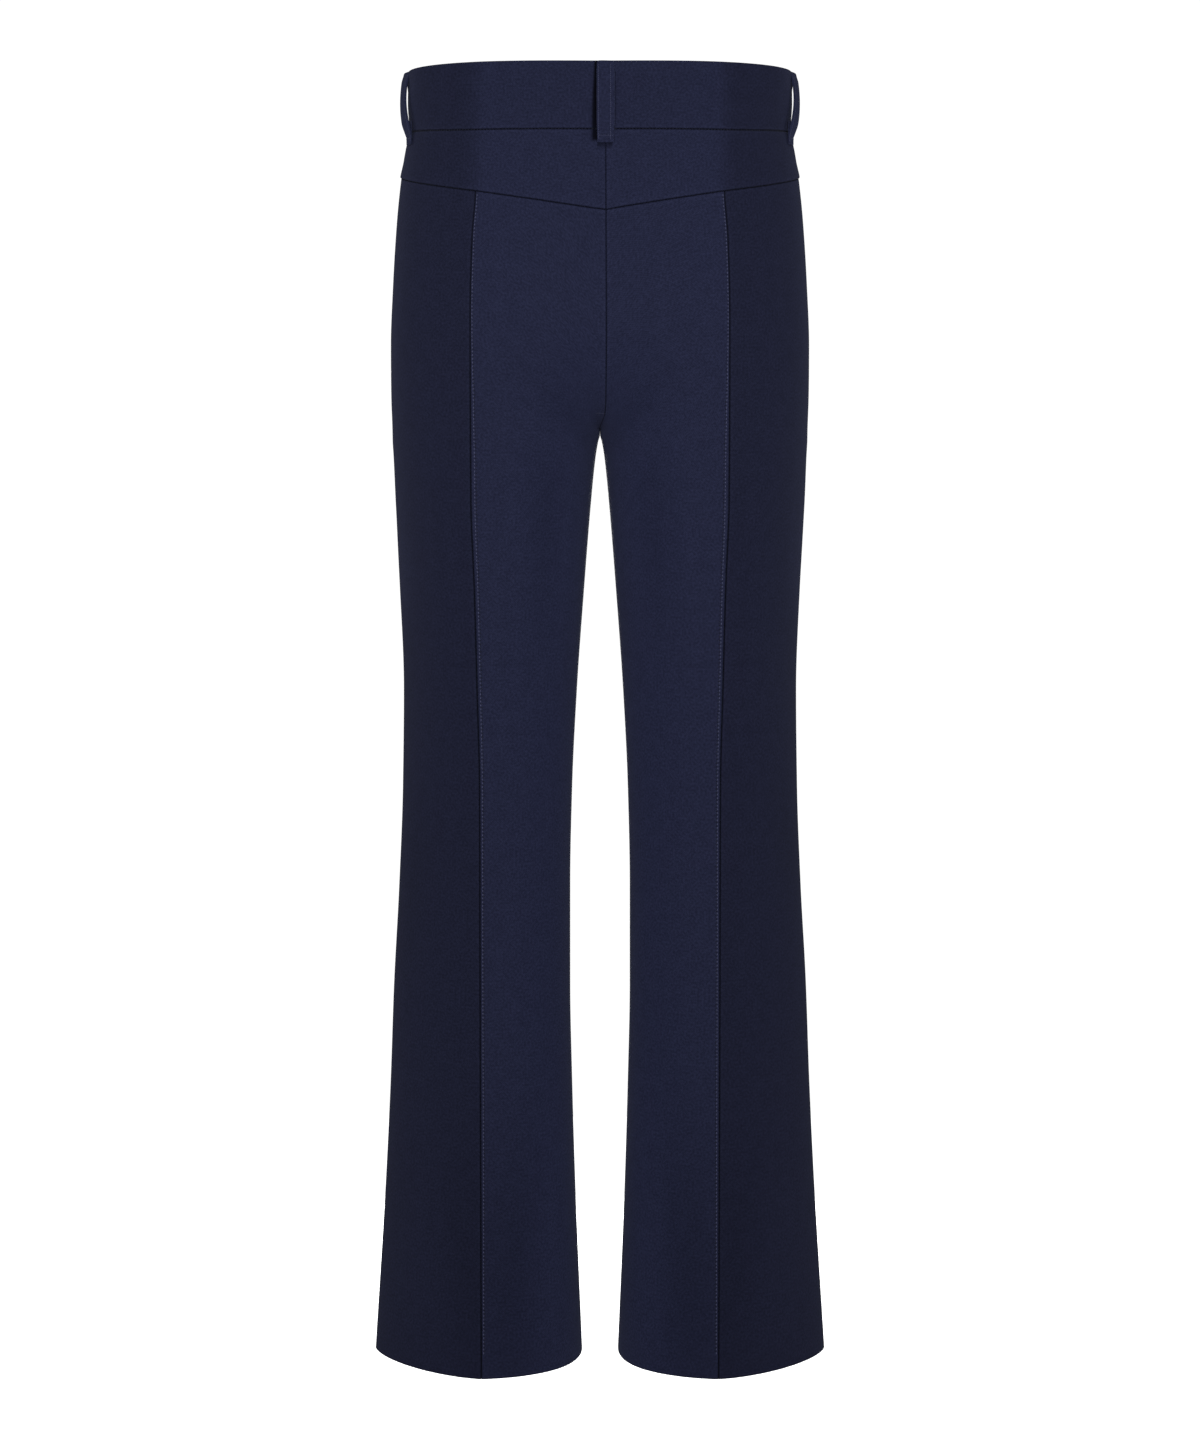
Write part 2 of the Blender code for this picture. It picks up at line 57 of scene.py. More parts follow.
# ---------------------------------------------------------------- the cut, as the panels have it
SEAM_GAP = 0.3  # between neighbouring pieces
CROTCH_Z = -268.0
SIDE_HEM_Z = -1020.0
BACK_HEM_DROP = 16.4
FRONT_HEM_LIFT = 6.0
HEM_SLANT = (0.68, 0.93)
BACK_RISE = 95.0
FRONT_RISE = 96.0
THIGH_RISE_FROM = 85.0
THIGH_EASE = 1.5
CENTRE_BACK_X = 4.0
CENTRE_BACK_FADE = (1.0, 12.0)
YOKE_PROUD = 1.0
YOKE_LIP = 14.0
YOKE_CENTRE_Z = -98.0
YOKE_SIDE_Z = -61.0
YOKE_SHARE = 0.45
YOKE_LINE = 0.78
FLY_END_Z = -190.0
FLY_FADE = 25.0
FLY_PROUD = 2.4
FLY_FROM_STATION = 3.56
FLY_UNDERLAP = 6.5
BAND_CLOTH = 2.4
BAND_LAP_STATION = 3.45
BAND_LAP_FADE = 0.3
BAND_UNDERLAP = 0.42
BAND_PROUD = BAND_CLOTH + SEAM_GAP
BUTTON_X = 15.0
BUTTON_RADIUS = 8.5
BUTTONHOLE = (18.0, 2.8)  # length, height
LOOP_WIDTH = 13.0
LOOP_SLACK = 4.9
SIDE_LOOP_SLACK = 3.6
LOOP_FOOT = 10.5
LOOP_BOW_FROM = 0.10
SIDE_LOOP = (1.72, 1.93)  # the stations of its foot and of its upper end
FRONT_LOOP = (3.0, 3.0)

BODY = table(
    "z half_width back_depth front_depth back_square front_square",
    (40.0, 157.4, 102.4, 97.4, 2.40, 2.30),
    (26.0, 157.0, 103.0, 98.0, 2.40, 2.30),
    (0.0, 156.0, 104.6, 99.8, 2.40, 2.30),
    (-20.0, 154.8, 106.0, 101.2, 2.40, 2.30),
    (-25.0, 154.8, 106.6, 101.7, 2.40, 2.30),
    (-29.0, 156.4, 107.4, 102.4, 2.40, 2.30),
    (-36.0, 158.6, 109.0, 103.6, 2.40, 2.30),
    (-60.0, 162.4, 113.0, 106.0, 2.45, 2.35),
    (-97.0, 166.2, 118.0, 108.6, 2.50, 2.40),
    (-150.0, 169.4, 121.6, 109.6, 2.60, 2.45),
    (-200.0, 171.2, 122.0, 107.0, 2.65, 2.50),
    (-240.0, 171.0, 120.0, 103.6, 2.65, 2.55),
    (CROTCH_Z, 170.0, 117.0, 101.0, 2.65, 2.60),
)

LEG = table(
    "z outer inner back front back_in back_out front_out front_in",
    (-100.0, 166.4, 0.0, 103.0, 98.0, 2.10, 2.20, 2.10, 2.10),
    (-200.0, 171.2, 0.0, 108.5, 100.0, 2.10, 2.10, 2.10, 2.10),
    (CROTCH_Z, 170.0, 0.0, 106.5, 97.5, 2.10, 2.00, 2.10, 2.10),
    (-272.0, 169.9, 0.1, 106.1, 97.2, 2.10, 2.00, 2.10, 2.10),
    (-276.0, 169.8, 1.2, 105.8, 97.0, 2.10, 2.00, 2.10, 2.10),
    (-290.0, 168.6, 3.6, 104.4, 96.2, 2.10, 2.00, 2.10, 2.10),
    (-323.0, 167.2, 7.0, 100.6, 93.6, 2.05, 1.90, 2.05, 2.05),
    (-400.0, 163.6, 13.2, 90.5, 87.4, 2.00, 1.78, 1.95, 2.00),
    (-480.0, 160.8, 18.9, 81.6, 81.4, 2.00, 1.70, 1.90, 1.95),
    (-560.0, 161.6, 22.8, 75.0, 77.0, 1.95, 1.64, 1.85, 1.90),
    (-640.0, 164.6, 24.4, 72.6, 74.0, 1.95, 1.60, 1.82, 1.88),
    (-720.0, 168.8, 24.4, 73.4, 71.6, 1.95, 1.56, 1.80, 1.86),
    (-800.0, 171.6, 22.8, 75.6, 70.2, 1.95, 1.53, 1.78, 1.84),
    (-880.0, 175.4, 20.4, 78.4, 69.6, 1.94, 1.50, 1.76, 1.82),
    (-960.0, 180.2, 17.2, 80.8, 69.8, 1.88, 1.48, 1.75, 1.80),
    (SIDE_HEM_Z, 184.0, 14.6, 82.0, 70.4, 1.84, 1.47, 1.75, 1.80),
    (-1050.0, 185.8, 13.4, 82.4, 70.8, 1.84, 1.47, 1.75, 1.80),
)

LINES = table(
    "z back_seam front_crease",
    (40.0, 98.0, 88.0),
    (-80.0, 99.6, 88.0),
    (-120.0, 102.4, 88.5),
    (-180.0, 103.8, 89.0),
    (-330.0, 103.4, 91.5),
    (-400.0, 100.9, 92.5),
    (-480.0, 98.9, 93.0),
    (-560.0, 97.0, 93.4),
    (-720.0, 96.6, 94.4),
    (-880.0, 96.0, 95.6),
    (-1050.0, 95.4, 97.0),
)

BAND = table(
    "station top seam",
    (0.0, 22.9, -32.2),
    (1.0, 23.9, -31.0),
    (1.6, 24.2, -27.4),
    (2.0, 24.4, -25.0),
    (3.0, 19.5, -30.0),
    (4.0, 16.0, -34.0),
)

# ---------------------------------------------------------------- the cloth and the sewing
CLOTH = 0.7  # the suiting that is seen, thinner than the panel that stands for it
STATION_WIDTH = 118.0  # about how far apart two stations are round the cloth
MIN_STATION_WIDTH = 20.0  # at the crotch
EDGE_STEPS = (0.0, 0.4, 0.9, 1.4, 2.0, 2.9, 3.7, 4.8, 6.4, 8.6)  # columns next to a sewn edge
YOKE_STEPS = EDGE_STEPS[:6] + tuple(np.arange(3.6, 13.1, 0.8))  # round the centre back loop
STEP = 4.6  # between rows and columns elsewhere
BAND_BELLY = 1.7  # how far the stiff band stands out over the sides
UNDER_BAND = 16  # height over which the right front follows its waistband out
CROTCH_STEPS = (-11.0, -8.0, -5.8, -4.3, -3.0, -1.5, 0.0, 2.0, 4.5)  # rows round the crotch
DRAWN_FADE = 4.0  # over what width the cloth beside a sewn edge is drawn back with it
TURN_IN = 2.4  # how deep the cloth turns in at a seam
TURN_LEAN = 0.17  # how far it leans towards the seam there
ROLL = (0.85, 0.42)  # a pressed seam's edge: how wide it rolls, and how deep
FINE_ROLL = (0.6, 0.35)
WAIST_ROLL = (0.9, 0.5)
SEAM_SHADE = 0.9  # how dark a seam's groove is
FELLED_RAISE = 0.45  # the centre back panel over the seam's turned allowances
FELLED_WIDTH = 4.6
FELLED_FADE = 3.9
STITCH_FROM_SEAM = 2.0
HOLE_FROM_SEAM = 2.9  # dark grains beside the thread paint the shade in the needle's holes
STITCH_GROOVE = (0.22, 0.55)  # depth, half width
STITCHED_FROM_ROW = 4  # the row over the hem at which the back seam's stitches begin
HEM_TURN = 38.0  # the hem's allowance, turned up inside
HEM_BEND = 0.85  # radius of its fold
ALLOWANCE = 12.0
ALLOWANCE_CLOTH = 0.5
PUCKER = (0.07, 13.0, 9.0)  # depth, length and reach of the faint ripples along a stitched seam
PUCKER_SWELL = 3.7  # ripple lengths over which they grow and fade

STITCH = (1.9, 0.75, 0.40)  # length, width, height
STITCH_PITCH = 3.0
DITCH_STITCH = (1.5, 1.5, 0.60)
DITCH_PITCH = 2.7
FINE_STITCH = (1.05, 0.55, 0.32)
FINE_PITCH = 1.7
HOLE_SHADE = (1.2, 0.9, 0.18)
HOLE_LIFT = 0.02
SEAT_TACK = (11.0, 3.3, 0.12)  # the short bar over the crotch: its height, half its length and its lift
FLY_STITCH_X = 34.0
FLY_STITCH_BEND = 46.0  # height of the curve at the foot of the fly's stitching
FLY_STITCH_FOOT_Z = FLY_END_Z + 6.0
FLY_STITCH_LIFT = 0.05
FLY_STITCH_POINTS = (12, 14)  # down its straight part and round its curve

# The folds of the cloth, soft ridges (depth over 0) and troughs. half is 0 for both legs, lean is in
# degrees from the vertical, and length, width and depth are in millimetres.
FOLDS = table(
    "half station z length width depth lean",
    # under the seat, running down the back of the thigh
    (0, 0.56, -345, 300, 17, -0.75, 3),
    (0, 0.36, -372, 230, 15, 0.60, -3),
    (0, 0.78, -362, 240, 14, 0.45, 2),
    (1, 0.22, -420, 150, 12, -0.35, -6),
    (-1, 0.26, -455, 170, 12, -0.35, -5),
    # beside the centre back, out of the crotch
    (0, 0.30, -262, 120, 14, -0.80, -34),
    (0, 0.45, -290, 130, 16, 0.55, -38),
    # the calf and the flare
    (0, 0.40, -930, 360, 21, 1.90, 4),
    (0, 0.80, -970, 400, 30, -1.60, 3),
    (0, 1.46, -955, 230, 22, 1.00, -3),
    (0, 1.22, -930, 260, 18, -0.70, -2),
    # the outer side of the knee and the thigh
    (1, 1.70, -610, 190, 20, -0.80, 12),
    (-1, 1.66, -640, 210, 20, -0.80, 10),
    (1, 1.92, -350, 160, 18, 0.60, -10),
    (-1, 1.88, -380, 180, 18, 0.60, -8),
    # the front, hidden in the photograph
    (1, 3.62, -228, 130, 12, -1.30, 52),
    (1, 3.50, -252, 150, 13, 1.00, 46),
    (1, 3.66, -276, 110, 11, -0.90, 40),
    (-1, 3.58, -222, 140, 12, -1.20, 55),
    (-1, 3.52, -258, 130, 13, 1.10, 44),
    (-1, 3.68, -284, 100, 11, -0.80, 36),
    (1, 3.05, -470, 300, 19, 1.20, 3),
    (-1, 2.95, -450, 270, 19, 1.20, -2),
    (1, 3.35, -590, 90, 12, -1.00, 62),
    (1, 2.80, -622, 110, 13, -1.10, -58),
    (-1, 3.30, -604, 110, 13, -1.10, 60),
    (-1, 2.74, -580, 90, 12, -0.90, -64),
    (1, 2.66, -905, 280, 22, -1.40, -3),
    (-1, 2.60, -925, 250, 22, -1.40, -2),
    (1, 3.22, -930, 260, 22, 1.50, 3),
    (-1, 3.28, -900, 290, 22, 1.40, 4),
    (1, 3.00, -985, 130, 14, -0.70, 4),
    (-1, 2.98, -975, 150, 14, -0.70, -4),
)
FOLD_FADE = 0.22  # stations from the centre seams and the inseam over which folds come in
FOLD_FADE_UNDER_BAND = 45.0  # the height under the waistband over which they come in
BAND_SIDE_SHADE = 0.15  # the least share of the side's painted shade that the whole stiff band takes
FOLD_LIGHT_AND_SHADE = (0.5, 0.15)  # painted highlight on a ridge and painted shade in a trough: how much lighter and darker, for each millimetre of the fold

# ---------------------------------------------------------------- colours, as linear light
SUITING = (0.0087, 0.0102, 0.0262)
SUITING_RAISED = (0.0165, 0.0192, 0.0466)
SIDE_SHADE_TINT = (0.68, 0.67, 0.67)  # painted shade: the cloth is darker at its sides, where it turns from the light
# painted highlight: how much lighter the cloth is beside pressed seams, on ridges and on the inner leg
HIGHLIGHT_TINT = (1.12, 1.12, 1.10)
# painted shade: deep in seams, in troughs, over the crotch and under the centre back loop
SHADE_TINT = (0.03, 0.04, 0.10)
THREAD = (0.0460, 0.0500, 0.0980)
DARK_THREAD = (0.0020, 0.0028, 0.0095)
TAPE = (0.0120, 0.0140, 0.0300)
RESIN = (0.0120, 0.0130, 0.0240)
METAL = (0.42, 0.41, 0.39)
PALE = (0.90, 0.90, 0.90)

# ---------------------------------------------------------------- the camera and the studio
PHOTO = (1200, 1440)  # pixels
MM_PER_PIXEL = 0.82  # at the trousers' outline
CAMERA_AWAY = 4500.0
CAMERA_Z = -505.5
SENSOR = 36.0
FLOOR_Z = -1120.0


# ---------------------------------------------------------------- the form
def smooth(rows, column, at, key="z"):
    """A column of a table as a smooth curve that never overshoots its rows."""
    order = np.argsort(rows[key])
    x, y = rows[key][order], rows[column][order]
    step, slope = np.diff(x), np.diff(y) / np.diff(x)
    product, total = slope[1:] * slope[:-1], slope[1:] + slope[:-1]
    rising = product > 0
    inner = np.where(rising, 2 * product / np.where(rising, total, 1), 0.0)
    tangent = np.concatenate([slope[:1], inner, slope[-1:]])
    at = np.clip(np.asarray(at, float), x[0], x[-1])
    i = np.clip(np.searchsorted(x, at) - 1, 0, len(x) - 2)
    u = (at - x[i]) / step[i]
    return (
        (1 + 2 * u) * (1 - u) ** 2 * y[i]
        + u * (1 - u) ** 2 * step[i] * tangent[i]
        + u * u * (3 - 2 * u) * y[i + 1]
        + u * u * (u - 1) * step[i] * tangent[i + 1]
    )


def ease(share):
    """0 to 1, level at both ends."""
    share = np.clip(share, 0, 1)
    return share * share * (3 - 2 * share)


def quarter(across, along, square, angle):
    """A quarter of a rounded outline: its reach across and along at an angle up to a right angle."""
    power = 2.0 / square
    return across * np.cos(angle).clip(0) ** power, along * np.sin(angle).clip(0) ** power


def leg_outline(station, z):
    """(x, y) round one leg, closed at the inseam."""
    leg = {column: smooth(LEG, column, z) for column in LEG if column != "z"}
    seam, crease = smooth(LINES, "back_seam", z), smooth(LINES, "front_crease", z)
    right_angle = np.pi / 2
    turn = np.where(station >= 4, 1.0, station % 1.0) * right_angle
    back_in = quarter(seam - leg["inner"], leg["back"], leg["back_in"], turn)
    back_out = quarter(leg["outer"] - seam, leg["back"], leg["back_out"], right_angle - turn)
    front_out = quarter(leg["outer"] - crease, leg["front"], leg["front_out"], turn)
    front_in = quarter(crease - leg["inner"], leg["front"], leg["front_in"], right_angle - turn)
    cases = [station < 1, station < 2, station < 3]
    places = [seam - back_in[0], seam + back_out[0], crease + front_out[0]]
    depths = [-back_in[1], -back_out[1], front_out[1]]
    return np.select(cases, places, crease - front_in[0]), np.select(cases, depths, front_in[1])


def body_outline(station, z):
    """(x, y) round one half of the body, from the centre back to the centre front."""
    half = smooth(BODY, "half_width", z)
    reach = {}
    for side, line, centre in (("back", "back_seam", 0.0), ("front", "front_crease", 4.0)):
        square = smooth(BODY, side + "_square", z)
        at_line = np.arccos((smooth(LINES, line, z) / half) ** (square / 2))
        from_centre = np.abs(station - centre)
        near = np.pi / 2 - from_centre * (np.pi / 2 - at_line)
        angle = np.where(from_centre < 1, near, (2 - from_centre) * at_line)
        reach[side] = quarter(half, smooth(BODY, side + "_depth", z), square, angle)
    behind = station < 2
    return np.where(behind, reach["back"][0], reach["front"][0]), np.where(
        behind, -reach["back"][1], reach["front"][1]
    )


def form(station, z):
    """(x, y, z) on the outside of the cloth, for the wearer's right half. Stations run from 0 at the
    centre back, or the inseam below the crotch, over 1 at the long back seam, 2 at the side and 3 at the
    front crease to 4 at the centre front, or the inseam again."""
    station, z = np.broadcast_arrays(np.asarray(station, float), np.asarray(z, float))
    on_leg = z <= CROTCH_Z
    side = np.where(~on_leg & ((station < 0) | (station > 4)), -1.0, 1.0)
    folded = np.where(np.abs(station) > 4, 8 - station, np.abs(station))
    station = np.where(on_leg, station % 4, folded)
    from_seam = np.minimum(station, 4 - station).clip(0, 1)
    below = THIGH_RISE_FROM * ease(from_seam)
    rise = np.where(station < 2, BACK_RISE, FRONT_RISE) + below
    height = np.clip((z - CROTCH_Z + below) / rise, 0, 1)
    share = (1 - (1 - height) ** 2) ** (0.5 + THIGH_EASE * from_seam * (2 - from_seam))
    leg_x, leg_y = leg_outline(station, z)
    body_x, body_y = body_outline(station, z)
    x = leg_x + share * (body_x - leg_x)
    y = leg_y + share * (body_y - leg_y)
    return np.stack([x * side, y, z], axis=-1)


def unit(vectors):
    return vectors / np.linalg.norm(vectors, axis=-1, keepdims=True)


def outward(station, z):
    """The direction square to the form."""
    d_station, d_z = 0.002, 0.5
    around = form(station + d_station, z) - form(station - d_station, z)
    upward = form(station, z + d_z) - form(station, z - d_z)
    return unit(np.cross(around, upward))


def on_form(station, z, proud=0.0):
    """Points on the form, or moved out from it, and their outward directions."""
    station, z = np.broadcast_arrays(np.asarray(station, float), np.asarray(z, float))
    out = outward(station, z)
    return form(station, z) + out * np.asarray(proud, float)[..., None], out


def band_edge(column, station):
    """The height of the waistband's lower edge, its seam, or of its top."""
    station = np.abs(np.asarray(station, float))
    return smooth(BAND, column, np.where(station > 4, 8 - station, station), "station")


def yoke_seam(station):
    """The height of the yoke's lower seam."""
    inner, outer = np.clip(station, 0, 1) ** YOKE_LINE, np.clip(station - 1, 0, 1)
    share = YOKE_SHARE * inner + (1 - YOKE_SHARE) * outer
    return YOKE_CENTRE_Z + (YOKE_SIDE_Z - YOKE_CENTRE_Z) * share


def hem(station):
    """The height of the hem, lower at the back than in front."""
    y = form(station, SIDE_HEM_Z)[..., 1]
    behind = np.clip(-y / smooth(LEG, "back", SIDE_HEM_Z), 0, 1)
    before = np.clip(y / smooth(LEG, "front", SIDE_HEM_Z), 0, 1)
    slant = np.where(station < 1, *HEM_SLANT)
    return SIDE_HEM_Z - BACK_HEM_DROP * behind**slant + FRONT_HEM_LIFT * before


def stations_off_centre(x, z, centre):
    """How many stations a distance x is from the centre back (0) or the centre front (4)."""
    step = 0.05
    per_station = form(abs(centre - step), z)[..., 0] / step
    return x / np.maximum(per_station, MIN_STATION_WIDTH)


def centre_back(z):
    """The station of the centre back seam, seen from the wearer's right half."""
    low, high = CENTRE_BACK_FADE
    over_crotch = (np.asarray(z, float) - CROTCH_Z - low) / (high - low)
    return stations_off_centre(CENTRE_BACK_X * ease(over_crotch), z, 0.0)


def folds(half, station, z):
    """How far the folds move the cloth of one half out."""
    station, z = np.broadcast_arrays(np.asarray(station, float), np.asarray(z, float))
    total = np.zeros(station.shape)
    for side, middle, height, length, width, depth, lean in zip(*FOLDS.values()):
        if side in (0, half):
            slope = np.radians(lean)
            across, along = (station - middle) * STATION_WIDTH, z - height
            off = across * np.cos(slope) + along * np.sin(slope)
            way = (along * np.cos(slope) - across * np.sin(slope)) / (length / 2)
            total += depth * np.exp(-((off / width) ** 2)) * np.cos(way.clip(-1, 1) * np.pi / 2) ** 2
    from_centre = np.minimum(np.abs(station), np.abs(4 - station))
    under_band = (band_edge("seam", station.clip(0, 4)) - z) / FOLD_FADE_UNDER_BAND
    return total * ease(from_centre / FOLD_FADE) * ease(under_band)


# ---------------------------------------------------------------- grids of cloth
# The edges of a grid: the axis, the line, and the line further in that shows which way the cloth runs.
EDGES = {"low": (1, 0, 3), "high": (1, -1, -4), "bottom": (0, 0, 3), "top": (0, -1, -4)}
FOLD_TURN = np.radians((30, 60, 90, 120, 150, 180))  # the points round a fold


def lengths_along(points, axis):
    """How far each point of a grid is from the grid's first line, along its own line."""
    steps = np.linalg.norm(np.diff(points, axis=axis), axis=-1)
    first = np.zeros_like(np.take(steps, [0], axis=axis))
    return np.concatenate([first, np.cumsum(steps, axis=axis)], axis=axis)


def edge_distances(points):
    """How far each point is from the low-station, high-station, bottom and top edge of its grid."""
    across, up = lengths_along(points, 1), lengths_along(points, 0)
    return {"low": across, "high": across[:, -1:] - across, "bottom": up, "top": up[-1:] - up}


def shares(width, fine=(True, True), steps=EDGE_STEPS):
    """Shares of a width from 0 to 1, close together next to a sewn end."""
    near = np.array(steps) / width
    start = near if fine[0] else near[:1]
    end = 1 - (near if fine[1] else near[:1])[::-1]
    count = max(2, round((end[0] - start[-1]) * width / STEP))
    return np.concatenate([start, np.linspace(start[-1], end[0], count + 1)[1:-1], end])


def drawn_back(points, edges):
    """The grid with its sewn edges drawn back from the seams by half a gap, and the cloth beside them less
    and less."""
    drawn = points.copy()
    for edge, (axis, end, inner) in EDGES.items():
        if edge in edges:
            lines = np.moveaxis(drawn, axis, 0)
            inward = unit(lines[inner] - lines[end])
            off = np.linalg.norm(lines - lines[end], axis=-1, keepdims=True)
            lines += inward * SEAM_GAP / 2 * (1 - off / DRAWN_FADE).clip(0)
    return drawn


def rolled(points, out, edges):
    """The grid with its sewn edges rolled under. edges gives the (width, depth) of each roll."""
    away = edge_distances(points)
    depth = sum(deep * (1 - away[edge] / wide).clip(0) ** 2 for edge, (wide, deep) in edges.items())
    return points - out * np.asarray(depth)[..., None]


def turned_in(points, out, edges):
    """The grid with one more line inside each sewn edge, leant towards the seam to close it."""
    for edge, (axis, end, inner) in EDGES.items():
        if edge in edges:
            line, way = np.take(points, [end], axis=axis), np.take(out, [end], axis=axis)
            inward = np.take(points, [inner], axis=axis) - line
            flat = unit(inward - way * np.sum(inward * way, axis=-1, keepdims=True))
            order = slice(None, None, 1 if end == 0 else -1)
            points = np.concatenate([line - way * TURN_IN - flat * TURN_LEAN, points][order], axis=axis)
            out = np.concatenate([way, out][order], axis=axis)
    return points


def turned_up(points, out, stations, half):
    """The grid with its hem folded round and turned up inside."""
    down = unit(points[0] - points[1])
    centre = points[0] - out[0] * HEM_BEND
    bend = [centre + HEM_BEND * (np.cos(turn) * out[0] + np.sin(turn) * down) for turn in FOLD_TURN[::-1]]
    heights = hem(stations) + HEM_BEND + np.linspace(HEM_TURN, 0, round(HEM_TURN / STEP))[:, None]
    inside = half_points(half, stations, heights, -2 * HEM_BEND)[0]
    return np.concatenate([inside[:-1], bend, points])


def half_points(half, stations, z, proud=0.0):
    """Points on one half's cloth with its folds, and their outward directions."""
    points, out = on_form(stations, z, proud + folds(half, stations, z))
    return points * (half, 1, 1), out * (half, 1, 1)


def new_mesh(name, points, faces=(), edges=()):
    """A mesh of points that are given in millimetres."""
    mesh = bpy.data.meshes.new(name)
    mesh.from_pydata((np.array(points) * MM).tolist(), edges, faces)
    return mesh


def grid_mesh(name, points, half=1, attributes=()):
    """A mesh on a grid of points, in rows from the bottom up and by rising station, with the cloth's own
    measures as its UV map, and values on its points."""
    rows, columns = points.shape[:2]
    first = (np.arange(rows - 1)[:, None] * columns + np.arange(columns - 1)).ravel()
    faces = np.stack([first, first + 1, first + columns + 1, first + columns], axis=1)
    if half < 0:
        faces = faces[:, ::-1]
    mesh = new_mesh(name, points.reshape(-1, 3), faces.tolist())
    across, up = lengths_along(points, 1), lengths_along(points, 0)
    across = across - across[:, columns // 2, None]
    cut = np.stack([across * half, up], axis=-1).reshape(-1, 2) * MM
    corners = np.empty(len(mesh.loops), np.int32)
    mesh.loops.foreach_get("vertex_index", corners)
    mesh.uv_layers.new(name="cut").data.foreach_set("uv", cut[corners].ravel().astype(np.float32))
    for attribute, values in dict(attributes).items():
        made = mesh.attributes.new(attribute, "FLOAT", "POINT")
        made.data.foreach_set("value", np.broadcast_to(values, (rows, columns)).ravel().astype(np.float32))
    mesh.shade_smooth()
    return mesh


# ---------------------------------------------------------------- pieces
EDGE_ANGLE = math.radians(40)  # an edge that is sharper is rounded


def add_object(name, data, material=None):
    if material:
        data.materials.append(material)
    made = bpy.data.objects.new(name, data)
    bpy.context.scene.collection.objects.link(made)
    return made


def worked(made, kind, **settings):
    """The object with a modifier worked into its mesh."""
    modifier = made.modifiers.new(kind, kind)
    for setting, value in settings.items():
        setattr(modifier, setting, value)
    graph = bpy.context.evaluated_depsgraph_get()
    mesh = bpy.data.meshes.new_from_object(made.evaluated_get(graph))
    mesh.name = made.name
    made.modifiers.clear()
    old, made.data = made.data, mesh
    bpy.data.meshes.remove(old)
    return made


def thicken(made, wall, even=False):
    return worked(made, "SOLIDIFY", thickness=wall * MM, offset=-1.0, use_even_offset=even)


def round_edges(made, width, segments=2):
    settings = {"width": width * MM, "segments": segments, "harden_normals": False}
    return worked(made, "BEVEL", limit_method="ANGLE", angle_limit=EDGE_ANGLE, **settings)


def mesh_of(work, name):
    """A mesh of what a bmesh holds, which is freed."""
    mesh = bpy.data.meshes.new(name)
    work.to_mesh(mesh)
    work.free()
    return mesh


def cut_away(made, mesh):
    """Takes what a closed mesh holds out of an object."""
    cutter = add_object(mesh.name, mesh)
    worked(made, "BOOLEAN", operation="DIFFERENCE", object=cutter)
    bpy.data.objects.remove(cutter)


def declare_cloth(made, node):
    """Attaches the piece to the root, and hides the node that it stands for, if any."""
    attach(made, "root")
    if node:
        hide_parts(node)


def side_name(stem, half):
    return f"{stem}_{'right' if half > 0 else 'left'}"


# ---------------------------------------------------------------- materials
YARN_PITCH_M = 0.0006
TAPE_PITCH_M = 0.0009
WALES = (0.7, 0.3)  # shares of the slanting wales and of the single yarns in the weave's height
FLECKS = ((90.0, 3.0, 0.6), (560.0, 2.0, 2.5))  # scale, detail and strength of the uneven colour
WEAVE_TONE = (0.45, 0.25)  # how far the height raises the tone, and the tone of the ground
THREAD_TONES = (0.75, 1.2)  # the darkest and the palest share of its colour
TAPE_RAISED = 1.6
RESIN_TONES = (0.55, 2.1)
METAL_ROUGHNESS = (0.35, 0.18)  # how far the scratches raise it, and where it starts
RESIN_ROUGHNESS = (0.15, 0.42)


def link(tree, out_node, out_socket, in_node, in_socket):
    tree.links.new(out_node.outputs[out_socket], in_node.inputs[in_socket])


def math_node(tree, operation, *values):
    """A Math node whose inputs are other nodes' first outputs, (node, socket) pairs or numbers."""
    made = tree.nodes.new("ShaderNodeMath")
    made.operation = operation
    for index, value in enumerate(values):
        if isinstance(value, (int, float)):
            made.inputs[index].default_value = value
        elif isinstance(value, tuple):
            link(tree, *value, made, index)
        else:
            link(tree, value, 0, made, index)
    return made


def placed_node(tree, kind, place, group=None, **values):
    """A node with its inputs set, and its Vector from the (node, socket) that gives the place."""
    made = tree.nodes.new("ShaderNode" + kind)
    if group:
        made.node_tree = group
    for name, value in values.items():
        made.inputs[name].default_value = value
    link(tree, *place, made, "Vector")
    return made


def object_place(tree):
    return tree.nodes.new("ShaderNodeTexCoord"), "Object"


def colour_mix(tree, factor, first, second, blend="MIX"):
    """The output of a mix. The two are colours or (node, socket) pairs."""
    made = tree.nodes.new("ShaderNodeMix")
    made.data_type = "RGBA"
    made.blend_type = blend
    link(tree, *factor, made, "Factor")
    for index, colour in ((6, first), (7, second)):
        if len(colour) == 2:
            link(tree, *colour, made, index)
        else:
            made.inputs[index].default_value = (*colour, 1)
    return made, 2


def times(share, colour):
    return tuple(share * value for value in colour)


def new_material(name, colour, **values):
    """A Principled material. Its inputs are given by their names, with _ for a space."""
    made = bpy.data.materials.new(name)
    made.use_nodes = True
    shader = made.node_tree.nodes["Principled BSDF"]
    for socket, value in dict(values, Base_Color=(*colour, 1)).items():
        shader.inputs[socket.replace("_", " ")].default_value = value
    return made, made.node_tree, shader


def add_bump(tree, shader, height, distance, strength=1.0):
    bump = tree.nodes.new("ShaderNodeBump")
    bump.inputs["Strength"].default_value = strength
    bump.inputs["Distance"].default_value = distance * MM
    link(tree, *height, bump, "Height")
    link(tree, bump, 0, shader, "Normal")


